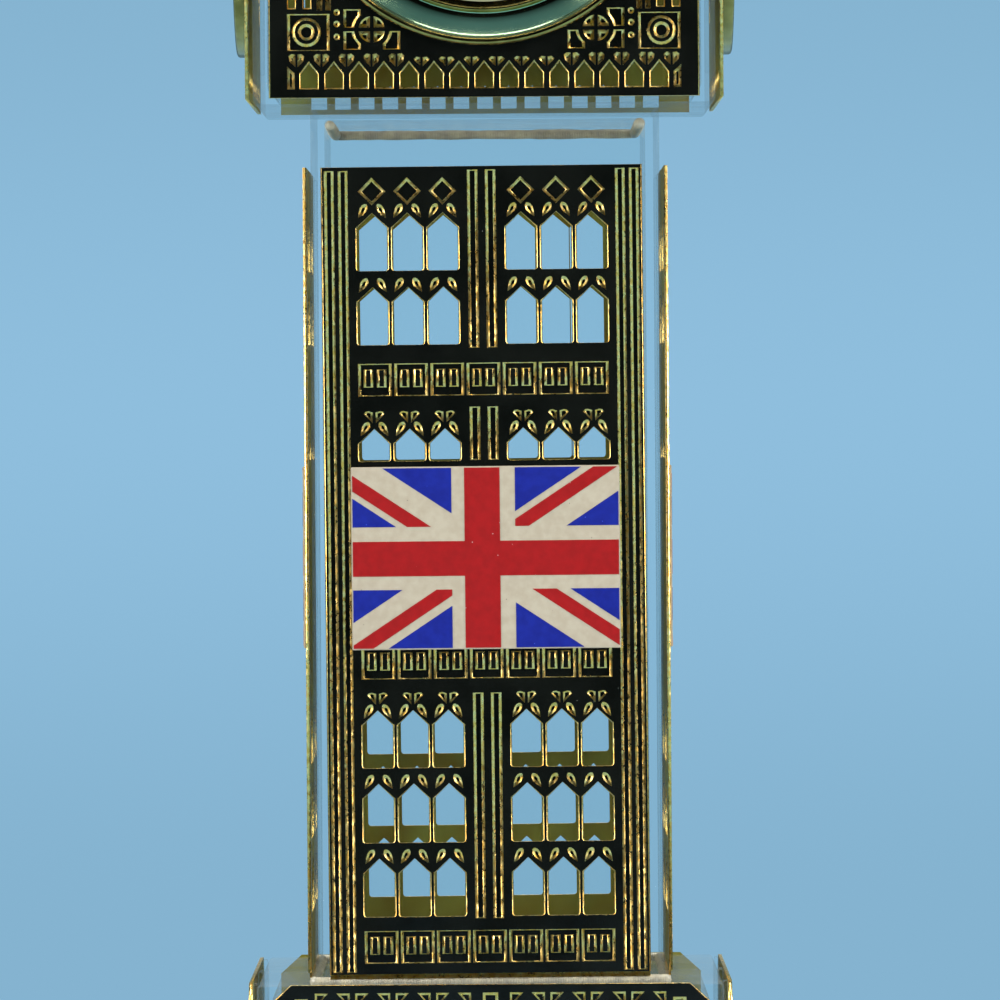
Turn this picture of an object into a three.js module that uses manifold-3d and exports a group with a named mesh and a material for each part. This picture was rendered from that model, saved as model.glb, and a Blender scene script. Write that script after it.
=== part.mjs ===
// Souvenir Gothic clock tower, built from stacked clear acrylic boxes. Each face of a box carries a thin pierced
// metal plate, and the clock box holds a press-fit quartz clock with meshing hand-setting wheels.
// Millimetres, +Z up, front towards -Y, origin at the middle of the underside.

import * as THREE from 'three';
import Module from 'manifold-3d';
import { mergeVertices } from 'three/addons/utils/BufferGeometryUtils.js';

// Driving dimensions, from the ground up
const PAD = { side: 39, height: 0.8 };
const FOOT = { side: 41, height: 1.6, chamfer: 0.4 };
const BASE = { side: 33.6, height: 22 };
const SHAFT = { side: 25.2, height: 63.4 };
const CLOCK = { side: 33.2, height: 35.2 };
const BELFRY = { side: 25.2, height: 9 };
const ROOF = { bottom: 25.2, top: 10.2, height: 13 };
const LANTERN = { side: 9.4, height: 6.5, slab: 0.9 };
const SPIRE = { bottom: 10.6, top: 0.9, height: 15.5 };
const FINIAL = { rod: 0.32, ball: 0.95, height: 6 };
const ACRYLIC = 1; // wall thickness of every clear box
const PLATE = 0.5; // thickness of every metal face plate
const GLUE = 0.1; // adhesive between a plate and its box

const BASE_PLATE = { width: 31.8, height: 22.1, chamfer: 1.5, lift: 0.15 };
const SHAFT_PLATE = { width: 23.2, height: 58, lift: 0.85 };
const CLOCK_PLATE = { width: 30.9, height: 34.6, lift: 0.3 };
const BELFRY_PLATE = { width: 23.2, height: 8.2, lift: 0.4 };

// Six rows of pointed windows on a shaft plate: height of the sill, and of the opening to its apex
const WINDOW = { width: 2.3, first: 2.82, pitch: 2.55, perSide: 3, slope: 1.05 };
const WINDOW_ROWS = [
  { sill: 50.6, height: 4.2 },
  { sill: 45.2, height: 4.25 },
  { sill: 36.85, height: 2.4 },
  { sill: 14.7, height: 4.2 },
  { sill: 9.3, height: 4.25 },
  { sill: 3.95, height: 4.25 },
];
const FLAG = { width: 19.4, height: 13.2, thick: 0.2, lift: 23.25, gap: 0.02 };

// Lancets in a base plate, mirrored about its middle bay
const LANCET = { first: 2.65, pitch: 2.9, perSide: 4, width: 1.8, sill: 12.4, height: 8, slope: 1 };

// Arcade under the dial, and the slots beside it
const ARCADE = { count: 15, pitch: 1.793, width: 1.38, sill: 0.71, height: 2, slope: 0.89 };
const SLOT = { centres: [12.67, 13.78], width: 0.68, sill: 6.3 };
const BELFRY_ARCH = { count: 7, pitch: 3.1, width: 2.2, sill: 1.1, height: 5.6, slope: 1.1 };

// Clock insert, in its own frame: x right, y up, z out of the dial, z = 0 on the plate's face
const BEZEL = { outer: 13.57, rim: 10.85, lip: 10.4, skirt: 11.35, height: 2.2 };
const BORE = 11.9;
const CASE = { outer: 11.3, wall: 0.6, front: -1.65, back: -8 };
const DIAL = { radius: 10.6, front: -1.2, thick: 0.3 };
const LENS = { radius: 10.75, back: 0.3, thick: 0.5 };
const GASKET = { inner: 11.95, outer: 13.2, thick: 0.3 };
const CELL = { radius: 3.4, thick: 2.6, x: 5.4, y: 4.5, back: -7.2 };
const COIL = { radius: 1.05, length: 5.6, x: 7.1, y: -3.6, z: -5.75 };
const KNOB = { radius: 1.8, thick: 1.2, flutes: 12 };
const HAND = { minute: 8.7, hour: 6.1, thick: 0.16 };
const TIME = { hours: 10, minutes: 10 };

// Hand-setting wheels: cannon pinion 12 to minute wheel 36, its pinion 10 to hour wheel 40
const TEETH = { cannon: 12, minute: 36, pinion: 10, hour: 40 };
const CENTRES = 5.76; // distance between meshing axes
const WHEEL = 0.6; // thickness of each toothed wheel
const LOWER = -3.85; // back face of the wheels that mesh with the cannon pinion
const UPPER = -3.05; // back face of the wheels that mesh with the hour wheel
const ARBOR = 0.4;
const HOUR_TUBE = { inner: 0.5, outer: 0.75 };
const SETTING_ANGLE = -Math.PI / 3; // from the minute wheel's axis to the setting pinion's

const wasm = await Module();
wasm.setup();

const material = (color, roughness, metalness, extra = {}) =>
  new THREE.MeshStandardMaterial({ color, roughness, metalness, ...extra });
const ACRYLIC_CLEAR = material('#cfe0e8', 0.05, 0, { transparent: true, opacity: 0.3 });
const GLASS = material('#e8f2f4', 0.05, 0, { transparent: true, opacity: 0.25 });
const LACQUER = material('#0c0c0c', 0.3, 0.6);
const BRASS = material('#c8a45c', 0.3, 1);
const GOLD = material('#e0bf72', 0.2, 1);
const FELT = material('#1c2b22', 0.95, 0);
const FOAM = material('#2a2a2a', 0.9, 0);
const ENAMEL = material('#b01014', 0.3, 0);
const DIAL_PRINT = material('#efe9d8', 0.5, 0);
const BLACK_PLASTIC = material('#151515', 0.5, 0);
const WHITE_PLASTIC = material('#e4e2da', 0.45, 0);
const STEEL = material('#b8babb', 0.3, 1);
const COPPER = material('#a85a2c', 0.35, 1);
const BOARD = material('#1f6b3a', 0.5, 0);

const tower = new THREE.Group();

function add(parent, name, geometry, finish) {
  const mesh = new THREE.Mesh(geometry, finish);
  mesh.name = name;
  parent.add(mesh);
  return mesh;
}

// --- Solids -------------------------------------------------------------------------------------

function solid(geometry) {
  const bare = geometry.clone();
  bare.deleteAttribute('normal');
  bare.deleteAttribute('uv');
  const merged = mergeVertices(bare, 1e-4);
  return new wasm.Manifold(
    new wasm.Mesh({
      numProp: 3,
      vertProperties: new Float32Array(merged.attributes.position.array),
      triVerts: new Uint32Array(merged.index.array),
    })
  );
}

function geometryOf(manifold) {
  const mesh = manifold.getMesh();
  const geometry = new THREE.BufferGeometry();
  geometry.setAttribute('position', new THREE.BufferAttribute(mesh.vertProperties, 3));
  geometry.setIndex(new THREE.BufferAttribute(mesh.triVerts, 1));
  return geometry;
}

// A box centred on the z axis, from z = bottom upwards
function block(width, depth, height, bottom = 0) {
  return new THREE.BoxGeometry(width, depth, height).translate(0, 0, bottom + height / 2);
}

// A round bar along z, from z = back towards +z
function bar(radius, length, back, x = 0, y = 0, sides = 24) {
  const turned = new THREE.CylinderGeometry(radius, radius, length, sides).rotateX(Math.PI / 2);
  return turned.translate(x, y, back + length / 2);
}

// A ring turned about z from a closed profile of [radius, z] points
function turnedRing(profile, sides) {
  const points = [...profile, profile[0]].map(([r, z]) => new THREE.Vector2(r, z));
  return new THREE.LatheGeometry(points, sides).rotateX(Math.PI / 2);
}

function extrude(shape, thick, back = 0) {
  const flat = { depth: thick, bevelEnabled: false, curveSegments: 8 };
  return new THREE.ExtrudeGeometry(shape, flat).translate(0, 0, back);
}

// An acrylic box open at the bottom
function openBox({ side, height }) {
  const hollow = side - 2 * ACRYLIC;
  const outer = solid(block(side, side, height));
  return outer.subtract(solid(block(hollow, hollow, height, -ACRYLIC)));
}

// A pointed opening that stands on z = sill, with its slopes falling from the apex to the jambs
function pointedOpening(path, x, sill, width, height, slope) {
  const half = width / 2;
  path.moveTo(x - half, sill);
  path.lineTo(x + half, sill);
  path.lineTo(x + half, sill + height - slope);
  path.lineTo(x, sill + height);
  path.lineTo(x - half, sill + height - slope);
  path.closePath();
  return path;
}

function rectangle(path, left, bottom, width, height) {
  path.moveTo(left, bottom);
  path.lineTo(left + width, bottom);
  path.lineTo(left + width, bottom + height);
  path.lineTo(left, bottom + height);
  path.closePath();
  return path;
}

// --- The four faces ------------------------------------------------------------------------------

const FACES = ['front', 'right', 'back', 'left'];

// Stands a flat piece, drawn in x and y, on one face of the tower: y becomes up and z becomes outwards
function onFace(face, name, geometry, finish, distance, lift) {
  const side = new THREE.Group();
  side.rotation.z = (FACES.indexOf(face) * Math.PI) / 2;
  tower.add(side);
  const mesh = add(side, name, geometry.rotateX(Math.PI / 2), finish);
  mesh.position.set(0, -distance, lift);
}

// A face plate drawn as an outline, with each opening cut right through it
function piercedPlate(outline, openings) {
  let plate = solid(extrude(outline, PLATE));
  for (const opening of openings) plate = plate.subtract(solid(extrude(opening, 3 * PLATE, -PLATE)));
  return plate;
}

function plainOutline({ width, height }) {
  return rectangle(new THREE.Shape(), -width / 2, 0, width, height);
}

// Pointed openings on both sides of a plate's centre line, all standing on one sill
function pairedRow({ first, pitch, perSide, width, slope }, { sill, height }) {
  const row = [];
  for (let column = 0; column < perSide; column += 1) {
    const x = first + column * pitch;
    for (const side of [-1, 1]) {
      row.push(pointedOpening(new THREE.Shape(), side * x, sill, width, height, slope));
    }
  }
  return row;
}

function shaftPlate() {
  const windows = WINDOW_ROWS.flatMap((level) => pairedRow(WINDOW, level));
  return geometryOf(piercedPlate(plainOutline(SHAFT_PLATE), windows));
}

// A row of pointed openings, centred on the plate
function arcade({ count, pitch, width, sill, height, slope }) {
  const row = [];
  for (let i = 0; i < count; i += 1) {
    const x = (i - (count - 1) / 2) * pitch;
    row.push(pointedOpening(new THREE.Shape(), x, sill, width, height, slope));
  }
  return row;
}

function clockPlate(bored) {
  const openings = arcade(ARCADE);
  const tall = CLOCK_PLATE.height - 2 * SLOT.sill;
  for (const centre of SLOT.centres) {
    for (const side of [-1, 1]) {
      const left = side * centre - SLOT.width / 2;
      openings.push(rectangle(new THREE.Shape(), left, SLOT.sill, SLOT.width, tall));
    }
  }
  const plate = piercedPlate(plainOutline(CLOCK_PLATE), openings);
  if (!bored) return geometryOf(plate);
  const drill = bar(BORE, 4 * PLATE, -PLATE, 0, 0, 48).translate(0, CLOCK_PLATE.height / 2, 0);
  return geometryOf(plate.subtract(solid(drill)));
}

function basePlate() {
  const { width, height, chamfer } = BASE_PLATE;
  const half = width / 2;
  const outline = new THREE.Shape();
  outline.moveTo(-half, 0);
  outline.lineTo(half, 0);
  outline.lineTo(half, height - chamfer);
  outline.lineTo(half - chamfer, height);
  outline.lineTo(-half + chamfer, height);
  outline.lineTo(-half, height - chamfer);
  outline.closePath();
  return geometryOf(piercedPlate(outline, pairedRow(LANCET, LANCET)));
}

function belfryPlate() {
  return geometryOf(piercedPlate(plainOutline(BELFRY_PLATE), arcade(BELFRY_ARCH)));
}

// --- Foot and base --------------------------------------------------------------------------------

add(tower, 'felt_pad', block(PAD.side, PAD.side, PAD.height), FELT);

const footZ = PAD.height;
const footSide = FOOT.side - 2 * FOOT.chamfer;
const footOutline = rectangle(new THREE.Shape(), -footSide / 2, -footSide / 2, footSide, footSide);
const footGeometry = new THREE.ExtrudeGeometry(footOutline, {
  depth: FOOT.height - 2 * FOOT.chamfer,
  bevelThickness: FOOT.chamfer,
  bevelSize: FOOT.chamfer,
  bevelSegments: 1,
});
add(tower, 'foot_plate', footGeometry.translate(0, 0, footZ + FOOT.chamfer), LACQUER);

const baseZ = footZ + FOOT.height;
add(tower, 'base_box', geometryOf(openBox(BASE)), ACRYLIC_CLEAR).position.z = baseZ;
for (const face of FACES) {
  const distance = BASE.side / 2 + GLUE;
  onFace(face, `base_plate_${face}`, basePlate(), LACQUER, distance, baseZ + BASE_PLATE.lift);
}

// --- Shaft ------------------------------------------------------------------------------------------

const shaftZ = baseZ + BASE.height;
add(tower, 'shaft_box', geometryOf(openBox(SHAFT)), ACRYLIC_CLEAR).position.z = shaftZ;
for (const face of FACES) {
  const plateZ = shaftZ + SHAFT_PLATE.lift;
  const distance = SHAFT.side / 2 + GLUE;
  onFace(face, `shaft_plate_${face}`, shaftPlate(), LACQUER, distance, plateZ);
  const flag = extrude(
    rectangle(new THREE.Shape(), -FLAG.width / 2, 0, FLAG.width, FLAG.height),
    FLAG.thick
  );
  const onPlate = distance + PLATE + FLAG.gap;
  onFace(face, `flag_panel_${face}`, flag, ENAMEL, onPlate, plateZ + FLAG.lift);
}

// --- Clock box --------------------------------------------------------------------------------------

const clockZ = shaftZ + SHAFT.height;
const dialZ = clockZ + CLOCK_PLATE.lift + CLOCK_PLATE.height / 2;
const clockHollow = CLOCK.side - 2 * ACRYLIC;
const clockDrill = bar(BORE, CLOCK.side / 2, CLOCK.side / 4, 0, 0, 48)
  .rotateX(Math.PI / 2)
  .translate(0, 0, dialZ - clockZ);
const clockBox = solid(block(CLOCK.side, CLOCK.side, CLOCK.height))
  .subtract(solid(block(clockHollow, clockHollow, CLOCK.height - 2 * ACRYLIC, ACRYLIC)))
  .subtract(solid(clockDrill));
add(tower, 'clock_box', geometryOf(clockBox), ACRYLIC_CLEAR).position.z = clockZ;

const clockFace = CLOCK.side / 2 + GLUE;
for (const face of FACES) {
  const plate = clockPlate(face === 'front');
  onFace(face, `clock_plate_${face}`, plate, LACQUER, clockFace, clockZ + CLOCK_PLATE.lift);
  if (face === 'front') continue;
  const raised = [
    [0, 0],
    [BEZEL.outer, 0],
    [BEZEL.outer, 0.7],
    [BEZEL.outer - 0.4, 0.9],
    [BEZEL.rim + 0.2, 0.35],
    [BEZEL.rim, 0.45],
    [BEZEL.rim - 0.1, 0.25],
    [0, 0.25],
  ].map(([r, z]) => new THREE.Vector2(r, z));
  const dummy = new THREE.LatheGeometry(raised, 32).rotateX(Math.PI / 2);
  onFace(face, `fixed_dial_${face}`, dummy, DIAL_PRINT, clockFace + PLATE + GLUE, dialZ);
}

// --- Belfry, roof and spire ---------------------------------------------------------------------------

const belfryZ = clockZ + CLOCK.height;
add(tower, 'belfry_box', geometryOf(openBox(BELFRY)), ACRYLIC_CLEAR).position.z = belfryZ;
for (const face of FACES) {
  const distance = BELFRY.side / 2 + GLUE;
  onFace(face, `belfry_plate_${face}`, belfryPlate(), LACQUER, distance, belfryZ + BELFRY_PLATE.lift);
}

// A square frustum; a side of the square is the cone's radius times the root of two
function frustum(bottom, top, height) {
  const cone = new THREE.CylinderGeometry(top * Math.SQRT1_2, bottom * Math.SQRT1_2, height, 4);
  return cone.rotateX(Math.PI / 2).rotateZ(Math.PI / 4).translate(0, 0, height / 2);
}

const roofZ = belfryZ + BELFRY.height;
add(tower, 'roof', frustum(ROOF.bottom, ROOF.top, ROOF.height), LACQUER).position.z = roofZ;

const lanternZ = roofZ + ROOF.height;
const archWide = LANTERN.side - 4 * LANTERN.slab;
const lanternTall = LANTERN.height - 2 * LANTERN.slab;
const lanternArch = pointedOpening(new THREE.Shape(), 0, LANTERN.slab, archWide, lanternTall, archWide / 2);
const through = extrude(lanternArch, 2 * LANTERN.side, -LANTERN.side).rotateX(Math.PI / 2);
const lantern = solid(block(LANTERN.side, LANTERN.side, LANTERN.height))
  .subtract(solid(through))
  .subtract(solid(through.clone().rotateZ(Math.PI / 2)));
add(tower, 'lantern', geometryOf(lantern), GOLD).position.z = lanternZ;

const spireZ = lanternZ + LANTERN.height;
add(tower, 'spire', frustum(SPIRE.bottom, SPIRE.top, SPIRE.height), LACQUER).position.z = spireZ;

const finialProfile = [new THREE.Vector2(0, 0), new THREE.Vector2(FINIAL.rod, 0)];
const ballZ = FINIAL.height * 0.4;
for (let i = 1; i < 8; i += 1) {
  const turn = (i * Math.PI) / 8;
  const r = Math.max(FINIAL.rod, FINIAL.ball * Math.sin(turn));
  finialProfile.push(new THREE.Vector2(r, ballZ - FINIAL.ball * Math.cos(turn)));
}
finialProfile.push(new THREE.Vector2(0, FINIAL.height));
const finial = new THREE.LatheGeometry(finialProfile, 12).rotateX(Math.PI / 2);
add(tower, 'finial', finial, GOLD).position.z = spireZ + SPIRE.height;

// --- Clock insert -------------------------------------------------------------------------------------

const insert = new THREE.Group();
insert.rotation.x = Math.PI / 2;
insert.position.set(0, -(clockFace + PLATE), dialZ);
tower.add(insert);

// The bezel is a deep dish between two rims, with a skirt that centres it in the bore
const seat = GASKET.thick + GLUE;
const dish = [];
for (let i = 1; i < 5; i += 1) {
  const t = i / 5;
  const r = THREE.MathUtils.lerp(BEZEL.outer - 0.5, BEZEL.rim + 0.4, t);
  dish.push([r, seat + 0.55 + (BEZEL.height - 1) * (1 - t) ** 2]);
}
const bezelProfile = [
  [BEZEL.outer, seat],
  [BEZEL.outer, BEZEL.height - 0.15],
  [BEZEL.outer - 0.15, BEZEL.height],
  [BEZEL.outer - 0.35, BEZEL.height],
  ...dish,
  [BEZEL.rim + 0.25, seat + 0.85],
  [BEZEL.rim, seat + 0.85],
  [BEZEL.rim, LENS.back - GLUE],
  [BEZEL.lip, LENS.back - GLUE],
  [BEZEL.lip, 0],
  [BEZEL.rim, 0],
  [BEZEL.rim, CASE.front + 0.35],
  [BEZEL.skirt, CASE.front + 0.35],
  [BEZEL.skirt, seat],
];
add(insert, 'bezel', turnedRing(bezelProfile, 40), GOLD);
const gasketProfile = [
  [GASKET.inner, GLUE / 2],
  [GASKET.outer, GLUE / 2],
  [GASKET.outer, GLUE / 2 + GASKET.thick],
  [GASKET.inner, GLUE / 2 + GASKET.thick],
];
add(insert, 'bezel_gasket', turnedRing(gasketProfile, 24), FOAM);
add(insert, 'lens', bar(LENS.radius, LENS.thick, LENS.back, 0, 0, 48), GLASS);

function disc(radius, thick, back, bore, sides = 40) {
  const shape = new THREE.Shape().absarc(0, 0, radius, 0, 2 * Math.PI);
  if (bore) shape.holes.push(new THREE.Path().absarc(0, 0, bore, 0, 2 * Math.PI, true));
  const flat = { depth: thick, bevelEnabled: false, curveSegments: sides / 2 };
  return new THREE.ExtrudeGeometry(shape, flat).translate(0, 0, back);
}

const dialBore = HOUR_TUBE.outer + 0.15;
add(insert, 'dial', disc(DIAL.radius, DIAL.thick, DIAL.front - DIAL.thick, dialBore), DIAL_PRINT);

const plateBack = CASE.front - CASE.wall;
const caseProfile = [
  [dialBore, plateBack],
  [CASE.outer - CASE.wall, plateBack],
  [CASE.outer - CASE.wall, CASE.back],
  [CASE.outer, CASE.back],
  [CASE.outer, CASE.front],
  [dialBore, CASE.front],
];
add(insert, 'movement_case', turnedRing(caseProfile, 36), BLACK_PLASTIC);

const setting = {
  x: -CENTRES + CENTRES * Math.cos(SETTING_ANGLE),
  y: CENTRES * Math.sin(SETTING_ANGLE),
};
const coverRadius = CASE.outer - CASE.wall - GLUE;
const cover = solid(bar(coverRadius, 0.5, CASE.back, 0, 0, 40)).subtract(
  solid(bar(ARBOR + 0.15, 2, CASE.back - 1, setting.x, setting.y))
);
add(insert, 'back_cover', geometryOf(cover), BLACK_PLASTIC);
add(insert, 'button_cell', bar(CELL.radius, CELL.thick, CELL.back, CELL.x, CELL.y, 32), STEEL);

const coilGeometry = new THREE.CylinderGeometry(COIL.radius, COIL.radius, COIL.length, 20);
add(insert, 'coil', coilGeometry.translate(COIL.x, COIL.y, COIL.z), COPPER);
const statorShape = new THREE.Shape();
rectangle(statorShape, 1.2, -6.4, COIL.x + COIL.radius - 1.2, 5.6);
statorShape.holes.push(new THREE.Path().absarc(3, -2.7, 1.1, 0, 2 * Math.PI, true));
statorShape.holes.push(rectangle(new THREE.Path(), 4.8, -5.6, 1, 4));
add(insert, 'stator', extrude(statorShape, 0.4, COIL.z + COIL.radius + GLUE), STEEL);

const boardShape = new THREE.Shape();
boardShape.absarc(0, 0, 9.6, Math.PI * 0.62, Math.PI * 1.08);
boardShape.closePath();
add(insert, 'circuit_board', extrude(boardShape, 0.4, -6.6), BOARD);

// A toothed wheel lying on z = back. Teeth are thin enough to run free on the nominal centres.
function toothedShape(teeth, radius, phase) {
  const pitch = (2 * Math.PI) / teeth;
  const mod = (2 * radius) / teeth;
  const flank = [
    [-0.27, radius - 1.05 * mod],
    [-0.1, radius + 0.8 * mod],
    [0.1, radius + 0.8 * mod],
    [0.27, radius - 1.05 * mod],
  ];
  const points = [];
  for (let i = 0; i < teeth; i += 1) {
    for (const [step, r] of flank) {
      const angle = phase + (i + step) * pitch;
      points.push(new THREE.Vector2(r * Math.cos(angle), r * Math.sin(angle)));
    }
  }
  return new THREE.Shape(points);
}

const pitchRadius = (own, other) => (CENTRES * own) / (own + other);
const cannonRadius = pitchRadius(TEETH.cannon, TEETH.minute);
const cannonGear = () => solid(extrude(toothedShape(TEETH.cannon, cannonRadius, 0), WHEEL, LOWER));
const facing = Math.PI; // the minute wheel stands on the cannon pinion's -x side

const minuteShape = toothedShape(
  TEETH.minute,
  pitchRadius(TEETH.minute, TEETH.cannon),
  Math.PI / TEETH.minute
);
const minutePinion = toothedShape(TEETH.pinion, pitchRadius(TEETH.pinion, TEETH.hour), 0);
const minuteWheel = solid(extrude(minuteShape, WHEEL, LOWER))
  .add(solid(extrude(minutePinion, UPPER + WHEEL - LOWER, LOWER)))
  .add(solid(bar(0.3, 1.8, LOWER - 0.2)));
add(insert, 'minute_wheel', geometryOf(minuteWheel), BRASS).position.x = CENTRES * Math.cos(facing);

const cannon = cannonGear().add(solid(bar(ARBOR, 6 - 0.42, -6)));
add(insert, 'cannon_pinion', geometryOf(cannon), BRASS);

const hourShape = toothedShape(
  TEETH.hour,
  pitchRadius(TEETH.hour, TEETH.pinion),
  Math.PI / TEETH.hour
);
const hourTube = disc(HOUR_TUBE.outer, -0.85 - UPPER, UPPER, HOUR_TUBE.inner, 24);
const hourWheel = solid(extrude(hourShape, WHEEL, UPPER))
  .subtract(solid(bar(HOUR_TUBE.inner + 0.1, 4, -5)))
  .add(solid(hourTube));
add(insert, 'hour_wheel', geometryOf(hourWheel), BRASS);

const settingArbor = cannonGear().add(solid(bar(ARBOR, LOWER + 0.1 - CASE.back + 0.3, CASE.back - 0.3)));
const settingMesh = add(insert, 'setting_arbor', geometryOf(settingArbor), STEEL);
settingMesh.position.set(setting.x, setting.y, 0);
const knobOutline = [];
for (let i = 0; i < 4 * KNOB.flutes; i += 1) {
  const r = KNOB.radius * (i % 4 < 2 ? 1 : 0.9);
  const angle = (i * Math.PI) / (2 * KNOB.flutes);
  knobOutline.push(new THREE.Vector2(r * Math.cos(angle), r * Math.sin(angle)));
}
const knob = extrude(new THREE.Shape(knobOutline), KNOB.thick, CASE.back - 0.4 - KNOB.thick);
add(insert, 'setting_knob', knob, WHITE_PLASTIC).position.set(setting.x, setting.y, 0);

// A hand is a lance on a round boss, with a short tail; it points up before it is turned
function hand(length, boss, bore, width) {
  const shape = new THREE.Shape();
  const away = Math.asin(width / 2 / boss);
  shape.moveTo(0, length);
  shape.lineTo(-width, length * 0.72);
  shape.lineTo(-width * 0.4, length * 0.5);
  shape.absarc(0, 0, boss, Math.PI / 2 + away, 1.5 * Math.PI - away);
  shape.lineTo(-width / 2, -boss * 2);
  shape.lineTo(width / 2, -boss * 2);
  shape.absarc(0, 0, boss, -Math.PI / 2 + away, Math.PI / 2 - away);
  shape.lineTo(width * 0.4, length * 0.5);
  shape.lineTo(width, length * 0.72);
  shape.closePath();
  shape.holes.push(new THREE.Path().absarc(0, 0, bore, 0, 2 * Math.PI, true));
  return shape;
}

const minuteTurn = (-2 * Math.PI * TIME.minutes) / 60;
const hourTurn = (-2 * Math.PI * (TIME.hours + TIME.minutes / 60)) / 12;
const minuteHand = extrude(hand(HAND.minute, 0.95, ARBOR + 0.05, 0.5), HAND.thick, -0.6);
add(insert, 'minute_hand', minuteHand, LACQUER).rotation.z = minuteTurn;
const hourHand = extrude(hand(HAND.hour, 1.15, HOUR_TUBE.outer + 0.05, 0.65), HAND.thick, -1.03);
add(insert, 'hour_hand', hourHand, LACQUER).rotation.z = hourTurn;

export default tower;
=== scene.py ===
"""Souvenir Gothic clock tower: black and gilt pierced plates on stacked clear acrylic boxes, with a press-fit quartz
clock in the front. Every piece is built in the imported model's frame, in metres, front towards -Y."""

import math

import bmesh
import bpy
from mathutils import Matrix, Vector


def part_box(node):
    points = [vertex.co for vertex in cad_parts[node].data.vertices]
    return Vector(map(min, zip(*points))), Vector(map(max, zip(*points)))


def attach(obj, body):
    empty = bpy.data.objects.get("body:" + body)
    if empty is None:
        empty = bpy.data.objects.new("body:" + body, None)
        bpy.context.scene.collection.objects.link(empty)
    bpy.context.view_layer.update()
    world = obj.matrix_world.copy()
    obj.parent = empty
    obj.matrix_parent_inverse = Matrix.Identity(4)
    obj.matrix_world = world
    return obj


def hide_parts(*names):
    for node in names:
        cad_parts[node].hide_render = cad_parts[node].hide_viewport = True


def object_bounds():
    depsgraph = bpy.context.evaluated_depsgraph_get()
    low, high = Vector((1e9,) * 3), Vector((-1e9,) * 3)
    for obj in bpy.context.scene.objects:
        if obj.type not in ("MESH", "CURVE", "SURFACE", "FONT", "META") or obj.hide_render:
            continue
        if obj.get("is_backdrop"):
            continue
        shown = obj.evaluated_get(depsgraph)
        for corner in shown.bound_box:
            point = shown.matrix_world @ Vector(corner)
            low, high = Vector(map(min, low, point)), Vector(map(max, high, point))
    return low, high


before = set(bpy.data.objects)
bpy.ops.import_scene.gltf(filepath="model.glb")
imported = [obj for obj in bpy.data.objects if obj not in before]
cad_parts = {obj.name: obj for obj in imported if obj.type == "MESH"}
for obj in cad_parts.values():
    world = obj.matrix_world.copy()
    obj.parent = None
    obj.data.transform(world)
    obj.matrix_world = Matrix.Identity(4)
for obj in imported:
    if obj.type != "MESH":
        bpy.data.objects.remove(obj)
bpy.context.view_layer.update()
MM = 0.001

# --- Camera ----------------------------------------------------------------------------------------
# A long lens stands level with the shaft and looks down by half a degree. It is turned a little
# about its own line of sight, so the tower leans to the left.

LENS_MM = 304.4
LOOKING_DOWN = 0.0105
LEANING = 0.0069

camera = bpy.data.objects.new("camera", bpy.data.cameras.new("camera"))
bpy.context.scene.collection.objects.link(camera)
bpy.context.scene.camera = camera
camera.data.lens = LENS_MM
camera.data.sensor_width = 36
camera.data.clip_start, camera.data.clip_end = 0.01, 20
camera.location = (0.97 * MM, -623.4 * MM, 65.65 * MM)
camera.rotation_euler = (math.pi / 2 - LOOKING_DOWN, LEANING, 0)
bpy.context.scene.view_settings.view_transform = "Standard"

# --- Studio: backdrop colour, light and floor ---------------------------------------------------------
# A pale blue sweep of paper behind and around the tower, two tall softboxes beside it, one overhead and a
# weak one behind the camera. The room beside and in front of the tower is dark, so black faces stay black.


def linear(code):
    """A #rrggbb colour as the linear RGBA that Blender's sockets hold."""
    parts = [int(code[i : i + 2], 16) / 255 for i in (1, 3, 5)]
    return (*(p / 12.92 if p <= 0.04045 else ((p + 0.055) / 1.055) ** 2.4 for p in parts), 1.0)


def add_node(tree, kind, values=None, **settings):
    """Adds a node with its settings. A value is a number, a colour, or the socket that feeds that input."""
    made = tree.nodes.new(kind)
    for name, value in settings.items():
        setattr(made, name, value)
    for name, value in (values or {}).items():
        if isinstance(value, bpy.types.NodeSocket):
            tree.links.new(value, made.inputs[name])
        else:
            made.inputs[name].default_value = value
    return made


BACKDROP_MIDDLE = "#8fbedd"
BACKDROP_EDGE = "#85b3d0"
ROOM_DARK = "#08090a"
ROOM_BLUE = "#5b7f95"
HALF_VIEW = 0.06  # sine of the elevation where the backdrop has fallen to its edge colour

world = bpy.data.worlds.new("studio")
bpy.context.scene.world = world
world.use_nodes = True
world.node_tree.nodes.clear()
studio = world.node_tree
towards = add_node(studio, "ShaderNodeTexCoord").outputs["Generated"]
direction = add_node(studio, "ShaderNodeSeparateXYZ", {"Vector": towards})
height = add_node(studio, "ShaderNodeMath", {0: direction.outputs["Z"]}, operation="ABSOLUTE").outputs[0]
falling = add_node(
    studio, "ShaderNodeMapRange", {"Value": height, "From Max": HALF_VIEW}, interpolation_type="SMOOTHSTEP"
)
backdrop = add_node(
    studio,
    "ShaderNodeMix",
    {0: falling.outputs[0], 6: linear(BACKDROP_MIDDLE), 7: linear(BACKDROP_EDGE)},
    data_type="RGBA",
).outputs[2]
behind = add_node(
    studio,
    "ShaderNodeMapRange",
    {"Value": direction.outputs["Y"], "From Min": 0.0, "From Max": 0.8},
    interpolation_type="SMOOTHSTEP",
)
above = add_node(
    studio,
    "ShaderNodeMapRange",
    {"Value": direction.outputs["Z"], "From Min": 0.45, "From Max": 0.95},
    interpolation_type="SMOOTHSTEP",
)
papered = add_node(studio, "ShaderNodeMath", {0: behind.outputs[0], 1: above.outputs[0]}, operation="MAXIMUM")
room = add_node(
    studio,
    "ShaderNodeMix",
    {0: papered.outputs[0], 6: linear(ROOM_DARK), 7: linear(ROOM_BLUE)},
    data_type="RGBA",
).outputs[2]
path = add_node(studio, "ShaderNodeLightPath")
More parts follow.
